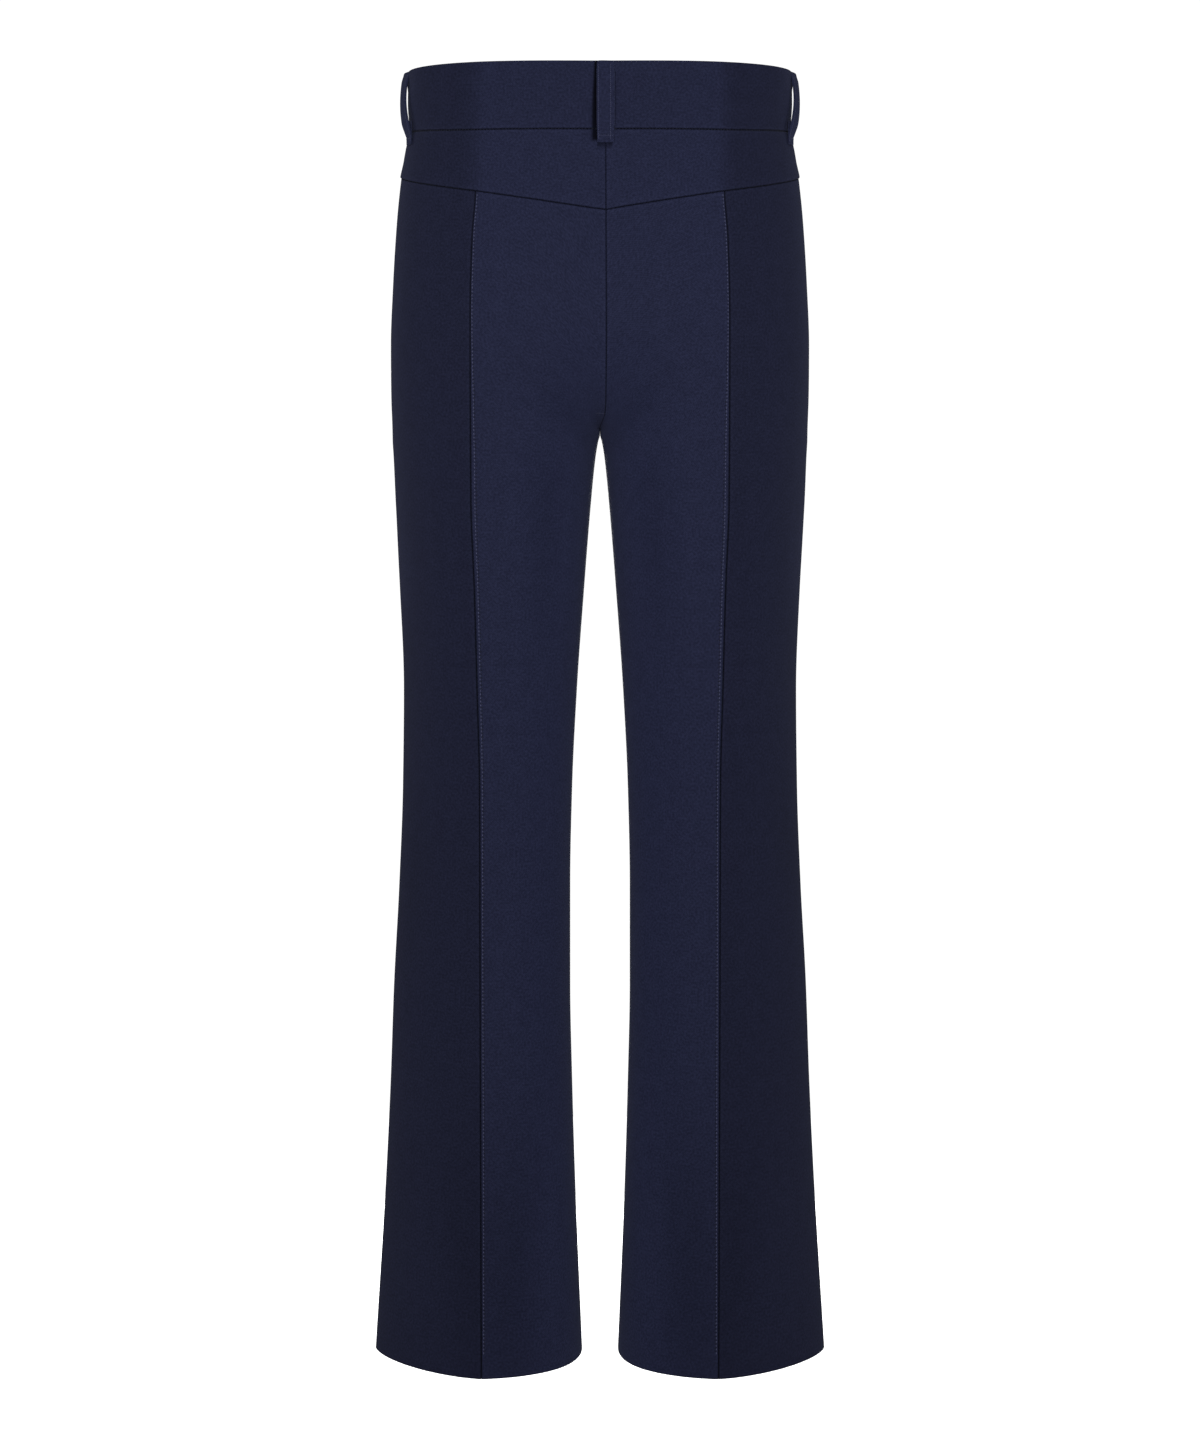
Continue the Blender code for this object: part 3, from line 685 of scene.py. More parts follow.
def weave_group():
    """A fine twill: yarns that cross at a pitch, its slanting wales, and an uneven, slightly flecked
    colour. It puts out the colour and the height of the weave."""
    group = bpy.data.node_groups.new("suiting weave", "ShaderNodeTree")
    for name, kind, value in (
        ("Vector", "Vector", (0, 0, 0)),
        ("Ground", "Color", (*SUITING, 1)),
        ("Raised", "Color", (*SUITING_RAISED, 1)),
        ("Pitch", "Float", YARN_PITCH_M),
    ):
        socket = group.interface.new_socket(name, in_out="INPUT", socket_type="NodeSocket" + kind)
        socket.default_value = value
    group.interface.new_socket("Colour", in_out="OUTPUT", socket_type="NodeSocketColor")
    group.interface.new_socket("Height", in_out="OUTPUT", socket_type="NodeSocketFloat")
    given, result = group.nodes.new("NodeGroupInput"), group.nodes.new("NodeGroupOutput")
    place = group.nodes.new("ShaderNodeSeparateXYZ")
    link(group, given, "Vector", place, 0)
    warp, weft = (math_node(group, "DIVIDE", (place, axis), (given, "Pitch")) for axis in "XY")

    def wave(value, turns):
        """0 to 1 and back, turns times for each yarn."""
        angle = math_node(group, "MULTIPLY", value, turns * 2 * math.pi)
        return math_node(group, "MULTIPLY_ADD", math_node(group, "SINE", angle), 0.5, 0.5)

    wales = wave(math_node(group, "ADD", warp, weft), 1 / 3)
    yarns = math_node(group, "MULTIPLY", wave(warp, 1.0), wave(weft, 1.0))
    height = math_node(group, "MULTIPLY_ADD", wales, WALES[0], math_node(group, "MULTIPLY", yarns, WALES[1]))
    link(group, height, 0, result, "Height")
    tone = math_node(group, "MULTIPLY_ADD", height, *WEAVE_TONE)
    for scale, detail, strength in FLECKS:
        noise = placed_node(group, "TexNoise", (given, "Vector"), Scale=scale, Detail=detail)
        tone = math_node(group, "MULTIPLY_ADD", math_node(group, "SUBTRACT", noise, 0.5), strength, tone)
    tone.use_clamp = True
    colour = colour_mix(group, (tone, 0), (given, "Ground"), (given, "Raised"))
    link(group, *colour, result, "Colour")
    return group


def suiting(weave):
    """Smooth wool suiting, with painted highlights beside its seams, on its folds' ridges and on the inner
    leg, painted shade at its sides, and painted shade deep in a seam, in a trough and under a loop."""
    sheen = {"Sheen_Weight": 0.02, "Sheen_Roughness": 0.5, "Sheen_Tint": (0.62, 0.68, 1.0, 1)}
    dull = {"Roughness": 0.85, "Diffuse_Roughness": 0.6, "Specular_IOR_Level": 0.06}
    made, tree, shader = new_material("suiting", SUITING, **sheen, **dull)
    place = tree.nodes.new("ShaderNodeUVMap")
    place.uv_map = "cut"
    cloth = placed_node(tree, "Group", (place, 0), weave)
    colour = (cloth, "Colour")
    # the attributes paint light and shade into the colour: a highlight, the side's shade and deep shade
    for attribute, tint in (("raised", HIGHLIGHT_TINT), ("side", SIDE_SHADE_TINT), ("shade", SHADE_TINT)):
        mask = tree.nodes.new("ShaderNodeAttribute")
        mask.attribute_name = attribute
        colour = colour_mix(tree, (mask, "Fac"), colour, tint, "MULTIPLY")
    link(tree, *colour, shader, "Base Color")
    add_bump(tree, shader, (cloth, "Height"), distance=0.05, strength=0.5)
    return made


def sewing_thread(name, colour):
    """Twisted thread with a faint sheen."""
    look = {"Roughness": 0.75, "Specular_IOR_Level": 0.12, "Sheen_Weight": 0.05}
    made, tree, shader = new_material(name, colour, **look)
    twist = placed_node(tree, "TexWave", object_place(tree), Scale=900.0)
    twist.bands_direction = "DIAGONAL"
    mixed = colour_mix(tree, (twist, "Fac"), *(times(tone, colour) for tone in THREAD_TONES))
    link(tree, *mixed, shader, "Base Color")
    add_bump(tree, shader, (twist, "Fac"), distance=0.05)
    return made


def zip_tape(weave):
    made, tree, shader = new_material("zip tape", TAPE, Roughness=0.8, Specular_IOR_Level=0.2)
    turn = placed_node(tree, "Mapping", object_place(tree), Rotation=(math.radians(90), 0, 0))
    look = {"Ground": (*TAPE, 1), "Raised": (*times(TAPE_RAISED, TAPE), 1), "Pitch": TAPE_PITCH_M}
    cloth = placed_node(tree, "Group", (turn, 0), weave, **look)
    link(tree, cloth, "Colour", shader, "Base Color")
    add_bump(tree, shader, (cloth, "Height"), distance=0.12)
    return made


def zip_metal():
    """Brushed metal, duller in its scratches."""
    made, tree, shader = new_material("zip metal", METAL, Metallic=1.0)
    stretch = placed_node(tree, "Mapping", object_place(tree), Scale=(1.0, 1.0, 0.08))
    scratches = placed_node(tree, "TexNoise", (stretch, 0), Scale=4200.0, Detail=4.0)
    link(tree, math_node(tree, "MULTIPLY_ADD", scratches, *METAL_ROUGHNESS), 0, shader, "Roughness")
    add_bump(tree, shader, (scratches, 0), distance=0.01)
    return made


def resin():
    """Navy resin with a faint cloudy grain."""
    made, tree, shader = new_material("button resin", RESIN, Specular_IOR_Level=0.06)
    look = {"Scale": 260.0, "Detail": 5.0, "Distortion": 1.5}
    clouds = placed_node(tree, "TexNoise", object_place(tree), **look)
    mixed = colour_mix(tree, (clouds, 0), *(times(tone, RESIN) for tone in RESIN_TONES))
    link(tree, *mixed, shader, "Base Color")
    link(tree, math_node(tree, "MULTIPLY_ADD", clouds, *RESIN_ROUGHNESS), 0, shader, "Roughness")
    return made


# ---------------------------------------------------------------- stitches
GRAIN_RINGS = (-0.32, 0.0, 0.32)  # where its rings lie along a grain of thread one long
GRAIN_SIDES = 6
THREAD_LIFT = 0.1  # how far a thread's middle lies over the cloth


def bead():
    """The points and faces of a rounded grain, one long, wide and high, along X."""
    turn = np.arange(GRAIN_SIDES) * 2 * np.pi / GRAIN_SIDES
    points = [(-0.5, 0, 0)]
    for x in GRAIN_RINGS:
        radius = 0.5 * math.sqrt(1 - 4 * x * x)
        points += [(x, radius * math.cos(angle), radius * math.sin(angle)) for angle in turn]
    points.append((0.5, 0, 0))
    last, faces = len(points) - 1, []
    for side in range(GRAIN_SIDES):
        here, beside = 1 + side, 1 + (side + 1) % GRAIN_SIDES
        faces.append((0, beside, here))
        for ring in range(len(GRAIN_RINGS) - 1):
            a, b = here + ring * GRAIN_SIDES, beside + ring * GRAIN_SIDES
            faces.append((a, b, b + GRAIN_SIDES, a + GRAIN_SIDES))
        end = (len(GRAIN_RINGS) - 1) * GRAIN_SIDES
        faces.append((here + end, beside + end, last))
    return np.array(points), faces


def values_at(at, along, values):
    """What a line's values are at some lengths along it."""
    return np.stack([np.interp(at, along, column) for column in values.T], axis=1)


def stitches(name, lines, thread, pitch=STITCH_PITCH, size=STITCH, start=0.5):
    """A grain of thread at each pitch along each (points, outward directions) line, flat on the cloth.
    start is the share of a pitch before the first one."""
    grain, faces = bead()
    points, polygons = [], []
    for line, out in lines:
        along = lengths_along(line, 0)
        at = np.arange(start * pitch, along[-1], pitch)
        place, up, way = (values_at(at, along, values) for values in (line, out, np.gradient(line, axis=0)))
        way = unit(way)
        side = unit(np.cross(up, way))
        frame_of = np.stack([way, side, np.cross(way, side)], axis=1)
        made = place[:, None] + (grain * size) @ frame_of
        for _ in made:
            first = len(polygons) // len(faces) * len(grain)
            polygons += [[first + corner for corner in face] for face in faces]
        points.append(made.reshape(-1, 3))
    mesh = new_mesh(name, np.concatenate(points), polygons)
    mesh.shade_smooth()
    made = add_object(name, mesh, thread)
    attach(made, "root")
    return made


# ---------------------------------------------------------------- the cloth's painted light and shade
SIDE_SHADE = (0.88, 0.24)  # the station from which the side's painted shade begins, and over what it comes in
SIDE_FADE = (1.5, 0.5)  # the station from which that tone fades, and over what
SIDE_FADE_MORE = (0.5, 0.3)  # how much further round it runs, and fades, low on the leg
SIDE_FADE_Z = (-380.0, 150.0)  # the height from which it does, and over what
INNER_LEG_LIGHT = (0.7, 70.0)  # painted light on the inner leg: the stations and the height over which it comes in
PRESSED_HIGHLIGHT = (1.8, 0.9)  # the painted highlight beside a seam: its distance and its width
GROOVE_CORE = 1.4  # over 1, so that a seam's painted shade is full some way into its groove
CROTCH_SHADE = (0.16, 8.0, 7.0, 4.0)  # how dark, wide and high, and how far over the crotch
LOOP_CORE = (1.8, 2.4, 2.4)  # under the centre loop: how dark, how wide, and how much wider in its bow
LOOP_CORE_TURN = 0.7  # half turns that the bow's shade takes from the top to the foot
LOOP_SOFT = (0.6, 2.2, 5.0)  # beside it: how dark, how wide, and how much wider at the foot
LOOP_FOOT_SHADE = (0.8, 0.5, 0.8)  # under its foot: how dark, how far down and how high


def side_shade_fade(stations, z):
    """The side's painted shade, which ends at the side seam, and further down the leg runs on over it."""
    low = ease((SIDE_FADE_Z[0] - z) / SIDE_FADE_Z[1])
    start, reach = SIDE_FADE
    later, longer = SIDE_FADE_MORE
    return 1 - ease((stations - start - later * low) / (reach + longer * low))


def side_shade(stations, z=0.0):
    """How much painted shade the cloth takes where it has turned to the side."""
    return ease((stations - SIDE_SHADE[0]) / SIDE_SHADE[1]) * side_shade_fade(stations, z)


def inner_leg_light(stations, z):
    """How much painted light the cloth takes where it has turned to the other leg."""
    reach, height = INNER_LEG_LIGHT
    near = 1 - ease(np.minimum(np.abs(stations), 4 - stations) / reach)
    return near * ease((CROTCH_Z + height - z) / height)


def crotch_shade(points):
    """The soft dark over the crotch, where the seat dips in between the legs."""
    dark, wide, high, over = CROTCH_SHADE
    x, z = points[..., 0], points[..., 2] - (CROTCH_Z + over)
    return dark * np.exp(-((x / wide) ** 2) - (z / high) ** 2)


def loop_shade(points):
    """How dark the deep shade under and beside the centre back loop leaves each point."""
    foot, top = float(band_edge("seam", 0.0)) - LOOP_FOOT, float(band_edge("top", 0.0))
    beside, height = CENTRE_BACK_X - LOOP_WIDTH / 2 - points[..., 0], points[..., 2] - foot
    down = (1 - height / (top - foot)).clip(0, 1)
    bow = np.sin(LOOP_CORE_TURN * np.pi * down)
    shade = sum(
        (dark * (1 - beside / (wide + wider * lower))).clip(0, 1)
        for (dark, wide, wider), lower in ((LOOP_CORE, bow), (LOOP_SOFT, down))
    )
    behind = points[..., 1] < 0
    under = behind & (beside > 2 - LOOP_WIDTH) & (height > 0)
    foot_line = behind & (beside < 0) & (beside > -LOOP_WIDTH)
    dark, drop, reach = LOOP_FOOT_SHADE
    foot_shade = dark * np.exp(-(((height + drop) / reach) ** 2))
    return np.maximum(under * shade.clip(0, 1), foot_line * foot_shade)


def light_and_shade_masks(points, edges, side, relief=0.0, shade=0.0, light=0.0):
    """Values over a grid that paint light and shade into the cloth's colour: a painted highlight beside a
    seam, on a fold's ridge and where light is given, painted shade in a seam's groove, a trough and where
    shade is given, and the side's painted shade."""
    away = edge_distances(points)
    pressed = sum(np.exp(-(((away[edge] - PRESSED_HIGHLIGHT[0]) / PRESSED_HIGHLIGHT[1]) ** 2)) for edge in edges)
    grooves = ((GROOVE_CORE * (1 - away[edge] / wide)).clip(0, 1) for edge, (wide, _) in edges.items())
    groove = SEAM_SHADE * sum(grooves)
    raised, trough = (np.maximum(way * relief, 0) * tone for way, tone in zip((1, -1), FOLD_LIGHT_AND_SHADE))
    shade = np.maximum(np.maximum(groove, trough), shade).clip(0, 1)
    # 'raised' is the painted highlight, 'shade' the painted shade and 'side' the side's painted shade
    return {"raised": (pressed + raised + light).clip(0, 1), "shade": shade, "side": side + 0 * groove}


# ---------------------------------------------------------------- panels
# About how wide and high the pieces are, for the number of their columns and rows.
CENTRE_WIDTH, SIDE_WIDTH, FRONT_WIDTH = 104.0, 96.0, 222.0
YOKE_SIDE_WIDTH, YOKE_HEIGHT = 92.0, 50.0
CROTCH_JOINT = (-2.4, 2.8, 2.0)  # its height over the crotch, its radius, and over what the seams part
CROTCH_JOINT_FLAT = 4.0  # how much wider than high it is


def leg_rows(stations, top, inseam):
    """Heights in rows from the hem's fold up to a seam, closer together round the crotch on the column that
    is the inseam."""
    low, high = hem(stations) + HEM_BEND, top
    share = shares(float(np.mean(high - low)), (False, True))
    crotch = (CROTCH_Z + np.array(CROTCH_STEPS) - low[0, inseam]) / (high - low)[0, inseam]
    share = np.sort(np.concatenate([share[(share < crotch[0]) | (share > crotch[-1])], crotch]))
    return low + (high - low) * share[:, None]


def crotch_apart(points):
    """0 where the four seams meet at the crotch and the cloth of both legs touches, and 1 elsewhere."""
    over, radius, reach = CROTCH_JOINT
    off = np.hypot(points[..., 2] - (CROTCH_Z + over), points[..., 0] / CROTCH_JOINT_FLAT)
    return ease((off - radius) / reach)


def sewn_panel(name, half, stations, z, edges, cloth, side, extra=None, proud=0.0, has_hem=True, shade=0.0):
    """One panel: its grid of cloth, with what is sewn rolled and turned in, and its hem turned up. It
    returns the piece, the flat cloth's grid, and the grid with its relief and outward directions."""
    points, out = half_points(half, stations, z, proud)
    cut = drawn_back(points, edges)
    apart = crotch_apart(cut)
    own_side = np.maximum(cut[..., 0] * half, SEAM_GAP / 2 * apart) * half
    cut[..., 0] = np.where(cut[..., 2] < CROTCH_Z + CENTRE_BACK_FADE[0], own_side, cut[..., 0])
    # painted shade over the crotch, in grooves and troughs, and painted highlights beside seams, on ridges
    # and on the inner leg
    shade = np.maximum(shade, crotch_shade(cut))
    masks = light_and_shade_masks(cut, edges, side, folds(half, stations, z), shade, inner_leg_light(stations, z))
    points = cut
    if extra is not None:
        points = points + out * extra(edge_distances(points))[..., None]
    points = points + (rolled(points, out, edges) - points) * apart[..., None]
    relief = points, out
    if has_hem:
        points = turned_up(points, out, stations[0], half)
        more = len(points) - len(out)
        out = np.concatenate([np.repeat(out[:1], more, axis=0), out])
        masks = {key: np.pad(mask, ((more, 0), (0, 0)), mode="edge") for key, mask in masks.items()}
    whole = turned_in(points, out, edges)
    ends = [[int(edge in edges) for edge in pair] for pair in (("bottom", "top"), ("low", "high"))]
    masks = {key: np.pad(mask, ends, mode="edge") for key, mask in masks.items()}
    made = add_object(name, grid_mesh(name, whole, half, masks), cloth)
    return thicken(made, CLOTH), cut, relief


def from_centre_back(share, z, half):
    """Stations from the centre back seam to 1."""
    start = half * centre_back(z[:, :1])
    return start + (1 - start) * share


def felled(away):
    """How far the centre back panel lies raised over the turned allowances. Its stitches sink in."""
    raised = FELLED_RAISE * (1 - ease((away["high"] - FELLED_WIDTH) / FELLED_FADE))
    deep, wide = STITCH_GROOVE
    groove = deep * np.exp(-(((away["high"] - STITCH_FROM_SEAM) / wide) ** 2))
    ripple, length, reach = PUCKER
    along = np.sin(2 * np.pi * away["bottom"] / length) * np.sin(away["bottom"] / (PUCKER_SWELL * length))
    return raised - groove + ripple * along * np.exp(-((away["high"] / reach) ** 2))


def centre_back_panel(half, cloth, thread, dark):
    share = shares(CENTRE_WIDTH)[None, :]
    z = leg_rows(share, yoke_seam(share), 0)
    stations = from_centre_back(share, z, half)
    edges = {"low": FINE_ROLL, "high": ROLL, "top": FINE_ROLL}
    name = side_name("cloth_back_centre", half)
    made, cut, (points, out) = sewn_panel(name, half, stations, z, edges, cloth, 0.0, felled)
    rows = slice(STITCHED_FROM_ROW, -1)

    def line_at(distance, lift):
        column = -1 - EDGE_STEPS.index(distance)
        return points[rows, column] + out[rows, column] * lift, out[rows, column]

    seam = side_name("back_seam", half)
    sewn = [
        stitches("stitches_" + seam, [line_at(STITCH_FROM_SEAM, THREAD_LIFT)], thread),
        # dark grains of seam thread: painted shade of the needle holes
        stitches("holes_" + seam, [line_at(HOLE_FROM_SEAM, HOLE_LIFT)], dark, size=HOLE_SHADE, start=1.0),
    ]
    if half < 0:
        over, reach, lift = SEAT_TACK
        x = np.linspace(-reach, reach, 7)
        bar = half_points(1, stations_off_centre(x, CROTCH_Z + over, 0.0), CROTCH_Z + over, lift)
        sewn.append(stitches("stitches_seat_tack", [bar], thread, FINE_PITCH, FINE_STITCH))
    declare_cloth(made, side_name("back_centre", half))


def side_back_panel(half, cloth):
    name = side_name("cloth_back_side", half)
    stations = 1 + shares(SIDE_WIDTH)[None, :]
    z = leg_rows(stations, yoke_seam(stations), 0)
    edges = {"low": ROLL, "high": FINE_ROLL, "top": FINE_ROLL}
    # the side panel takes the side's painted shade
    made, cut, _ = sewn_panel(name, half, stations + 0 * z, z, edges, cloth, side_shade_fade(stations, z))
    declare_cloth(made, side_name("back_side", half))


def band_lap(stations):
    """0 to 1 where the wearer's right waistband steps out over the left one."""
    return ease((stations - BAND_LAP_STATION + BAND_LAP_FADE) / BAND_LAP_FADE)


def near_fly(stations):
    """0 to 1 from the fly's stitching to the centre front."""
    return ((stations - FLY_FROM_STATION) / (4 - FLY_FROM_STATION)).clip(0, 1)


def fly_proud(stations, z):
    """How far the right front stands out over the fly."""
    return FLY_PROUD * ease((z - FLY_END_Z) / FLY_FADE) * ease(2 * near_fly(stations))


def fly_stitches(thread):
    """Down beside the fly and round to its foot, like a J."""
    straight, curved = FLY_STITCH_POINTS
    bend = np.radians(np.linspace(0, 90, curved))
    x = np.concatenate([np.full(straight, FLY_STITCH_X), FLY_STITCH_X * np.cos(bend)])[:-1]
    curve = FLY_STITCH_FOOT_Z + FLY_STITCH_BEND * (1 - np.sin(bend))
    top = float(band_edge("seam", 4.0)) - 1
    z = np.concatenate([np.linspace(top, curve[0], straight, endpoint=False), curve])[:-1]
    stations = 4 - stations_off_centre(x, z, 4.0)
    line = half_points(1, stations, z, fly_proud(stations, z) + FLY_STITCH_LIFT)
    return stitches("stitches_fly", [line], thread)


def front_panel(half, cloth, thread):
    """The right front stands proud along the fly, and the left one runs on under it."""
    name = side_name("cloth_front", half)
    stations = 2 + 2 * shares(FRONT_WIDTH)[None, :]
    z = leg_rows(stations, band_edge("seam", stations), -1)
    stations = stations + 0 * z
    proud = 0.0
    if half > 0:
        at_band = band_lap(stations) * (1 - ease((band_edge("seam", stations) - z) / UNDER_BAND))
        proud = np.maximum(fly_proud(stations, z), BAND_PROUD * at_band)
    else:
        lapped = ease((z - FLY_END_Z - FLY_FADE) / FLY_FADE)
        stations = stations + stations_off_centre(FLY_UNDERLAP, z, 4.0) * lapped * near_fly(stations)
    edges = {"low": FINE_ROLL, "high": FINE_ROLL, "top": WAIST_ROLL}
    # the front takes the side's painted shade towards the side seam
    made, cut, _ = sewn_panel(name, half, stations, z, edges, cloth, side_shade(stations, z), proud=proud)
    sewn = [fly_stitches(thread)] if half > 0 else []
    declare_cloth(made, side_name("front", half))


def yoke(half, cloth):
    name = side_name("cloth_yoke", half)
    low_part = shares(CENTRE_WIDTH, (True, False), YOKE_STEPS)
    share = np.concatenate([low_part, 1 + shares(YOKE_SIDE_WIDTH, (False, True))[1:]])[None, :]
    low, high = yoke_seam(share), band_edge("seam", share)
    z = low + (high - low) * shares(YOKE_HEIGHT)[:, None]
    stations = np.where(share < 1, from_centre_back(share, z, half), share + 0 * z)
    edges = {"low": FINE_ROLL, "high": FINE_ROLL, "bottom": FINE_ROLL, "top": WAIST_ROLL}
    # the side's painted shade, and the painted shadow of the centre back loop
    painted_shades = {"side": side_shade(stations), "shade": loop_shade(form(stations, z) * (half, 1, 1))}
    proud = YOKE_PROUD * (1 - ease((z - yoke_seam(stations.clip(0))) / YOKE_LIP))
    made, cut, _ = sewn_panel(name, half, stations, z, edges, cloth, proud=proud, has_hem=False, **painted_shades)
    declare_cloth(made, side_name("yoke", half))


# ---------------------------------------------------------------- waistband
BAND_HEIGHT, BACK_BAND_HALF, FRONT_BAND_WIDTH = 53.0, 196.0, 226.0  # for the number of rows and columns
BAND_ROUND = 0.9  # radius of its edges
BELLY = (0.85, 1.3, 0.4)  # the half turns of its curve, how low it lies, and its reach in stations
ROUND_LOOP = np.arange(-8.0, 14.0, 0.5) / 98.0  # close columns round the centre back loop, in stations
ROUND_LOOP_CLEAR = 0.02  # stations between them and the next
DITCH_LIFT = 0.12  # of the stitches sunk in the seam


def band_rows(stations):
    low, high = band_edge("seam", stations), band_edge("top", stations)
    return low + (high - low) * shares(BAND_HEIGHT)[:, None]


def band_belly(stations, z):
    """How far the stiff band stands out over each side of the body, most of all below its middle."""
    low, high = band_edge("seam", stations), band_edge("top", stations)
    down = ((high - z) / (high - low)).clip(0, 1)
    turns, lowered, reach = BELLY
    return BAND_BELLY * np.sin(turns * np.pi * down**lowered) * np.exp(-(((stations - 2) / reach) ** 2))


def waistband(node, points, out, side, half, cloth, thread, cut_hole=False):
    """A stiffened band with rounded edges, rolled where it is sewn to the trousers, and stitches sunk in
    that seam."""
    points = drawn_back(points, ("bottom",))
    sewn = {"bottom": WAIST_ROLL}
    # painted shade at the sides and over the whole band, and the centre back loop's painted shadow
    masks = light_and_shade_masks(points, sewn, np.maximum(side, BAND_SIDE_SHADE), shade=loop_shade(points))
    points = rolled(points, out, sewn)
    made = add_object("cloth_" + node, grid_mesh("cloth_" + node, points, half, masks), cloth)
    round_edges(thicken(made, BAND_CLOTH, even=True), BAND_ROUND)
    if cut_hole:
        buttonhole(made, thread)
    declare_cloth(made, node)
    seam = points[0] - np.array([0, 0, SEAM_GAP]) + out[0] * DITCH_LIFT
    stitches("stitches_" + node, [(seam, out[0])], thread, DITCH_PITCH, DITCH_STITCH)


def back_waistband(cloth, thread):
    wide = shares(BACK_BAND_HALF) * 2
    low, high = ROUND_LOOP[0] - ROUND_LOOP_CLEAR, ROUND_LOOP[-1] + ROUND_LOOP_CLEAR
    left, right = (part[(part < low) | (part > high)] for part in (wide - 2, wide))
    share = np.concatenate([left, ROUND_LOOP, right])[None, :]
    stations, half = np.abs(share), np.where(share < 0, -1, 1)
    z = band_rows(stations)
    points, out = on_form(stations + 0 * z, z, band_belly(stations, z))
    points[..., 0] *= half
    out[..., 0] *= half
    waistband("waistband_back", points, out, side_shade(stations), 1, cloth, thread)


def front_waistband(half, cloth, thread):
    last = 4 if half > 0 else 4 + BAND_UNDERLAP
    stations = 2 + (last - 2) * shares(FRONT_BAND_WIDTH)[None, :]
    z = band_rows(stations)
    proud = BAND_PROUD * band_lap(stations) * (half > 0) + band_belly(stations, z)
    points, out = on_form(stations + 0 * z, z, proud)
    points, out = points * (half, 1, 1), out * (half, 1, 1)
    node = side_name("waistband_front", half)
    waistband(node, points, out, side_shade(stations), half, cloth, thread, cut_hole=half > 0)


# ---------------------------------------------------------------- belt loops
LOOP_COLUMNS = (-1, -0.97, -0.88, -0.6, -0.3, 0, 0.3, 0.6, 0.88, 0.97, 1)  # shares of half its width
LOOP_ROWS = 41
LOOP_PLY = (0.8, 2.3)  # thickness of a loop at its pressed foot and in its bow
LOOP_CROWN = 0.35  # how far its face falls off at its edges
LOOP_EDGE = 0.35  # the share of its thickness by which they are rounded
LOOP_BEND = 0.9  # radius of the folded foot
LOOP_FREE = (0.30, 1.04, 0.16)  # the share over which it comes off, and where and over what it lies flat
LOOP_BOW_FULL = 0.8  # under 1, so that the bow is fuller than a sine's
LOOP_TOP_LEAN = 0.07  # how far in the folded top slants
LOOP_UNDER = (21.0, 26.0)  # how far the folded ends reach back under the loop, at its foot and at its top
LOOP_STITCH_COLUMNS = (2, -4)
LOOP_TACK_ROW = 3  # rows over its foot
SIDE_LOOP_TWIST = (-1.0, -2.0)  # how far the edges stand off and lie down, half way and at the top
CENTRE_LOOP_TWIST = (1.6, 1.2)  # the left edge stands off


def strap(name, path, out, across, ply, twist, half, cloth):
    """A strip along a path, with soft edges, and its own wall thickness, twist, outward and sideways
    directions at each point. It returns the piece, its outer face's grid and that face's directions."""
    from_middle = np.array(LOOP_COLUMNS)[:, None]
    facing = unit(np.cross(across, np.gradient(path, axis=0)))[:, None]
    out, across, ply = out[:, None], across[:, None], ply[:, None, None]
    crown = LOOP_CROWN * np.abs(from_middle) ** 6
    flat = path[:, None] + from_middle * (LOOP_WIDTH / 2 * across - twist[:, None, None] * out)
    outer, inner = flat - crown * facing, flat + (crown - ply) * facing
    edge = 0.5 * (outer + inner) + np.sign(from_middle) * LOOP_EDGE * ply * across
    ring = np.concatenate([outer, edge[:, -1:], inner[:, ::-1], edge[:, :1], outer[:, :1]], axis=1)
    mesh = grid_mesh(name, ring * (half, 1, 1), half)
    work = bmesh.new()
    work.from_mesh(mesh)
    bmesh.ops.remove_doubles(work, verts=work.verts, dist=MERGE_M)
    bmesh.ops.holes_fill(work, edges=[edge for edge in work.edges if edge.is_boundary], sides=0)
    bmesh.ops.recalc_face_normals(work, faces=work.faces)
    work.to_mesh(mesh)
    work.free()
    return add_object(name, mesh, cloth), outer * (half, 1, 1), facing[:, 0] * (half, 1, 1)


def folded_end(end, along, facing, under):
    """The turn round the end of a strip and its run back underneath."""
    centre, angles = end - facing * LOOP_BEND, FOLD_TURN[:, None]
    bend = centre + LOOP_BEND * (np.cos(angles) * facing + np.sin(angles) * along)
    return np.concatenate([bend, bend[-1] - along * np.linspace(1.0, under, 5)[:, None]])


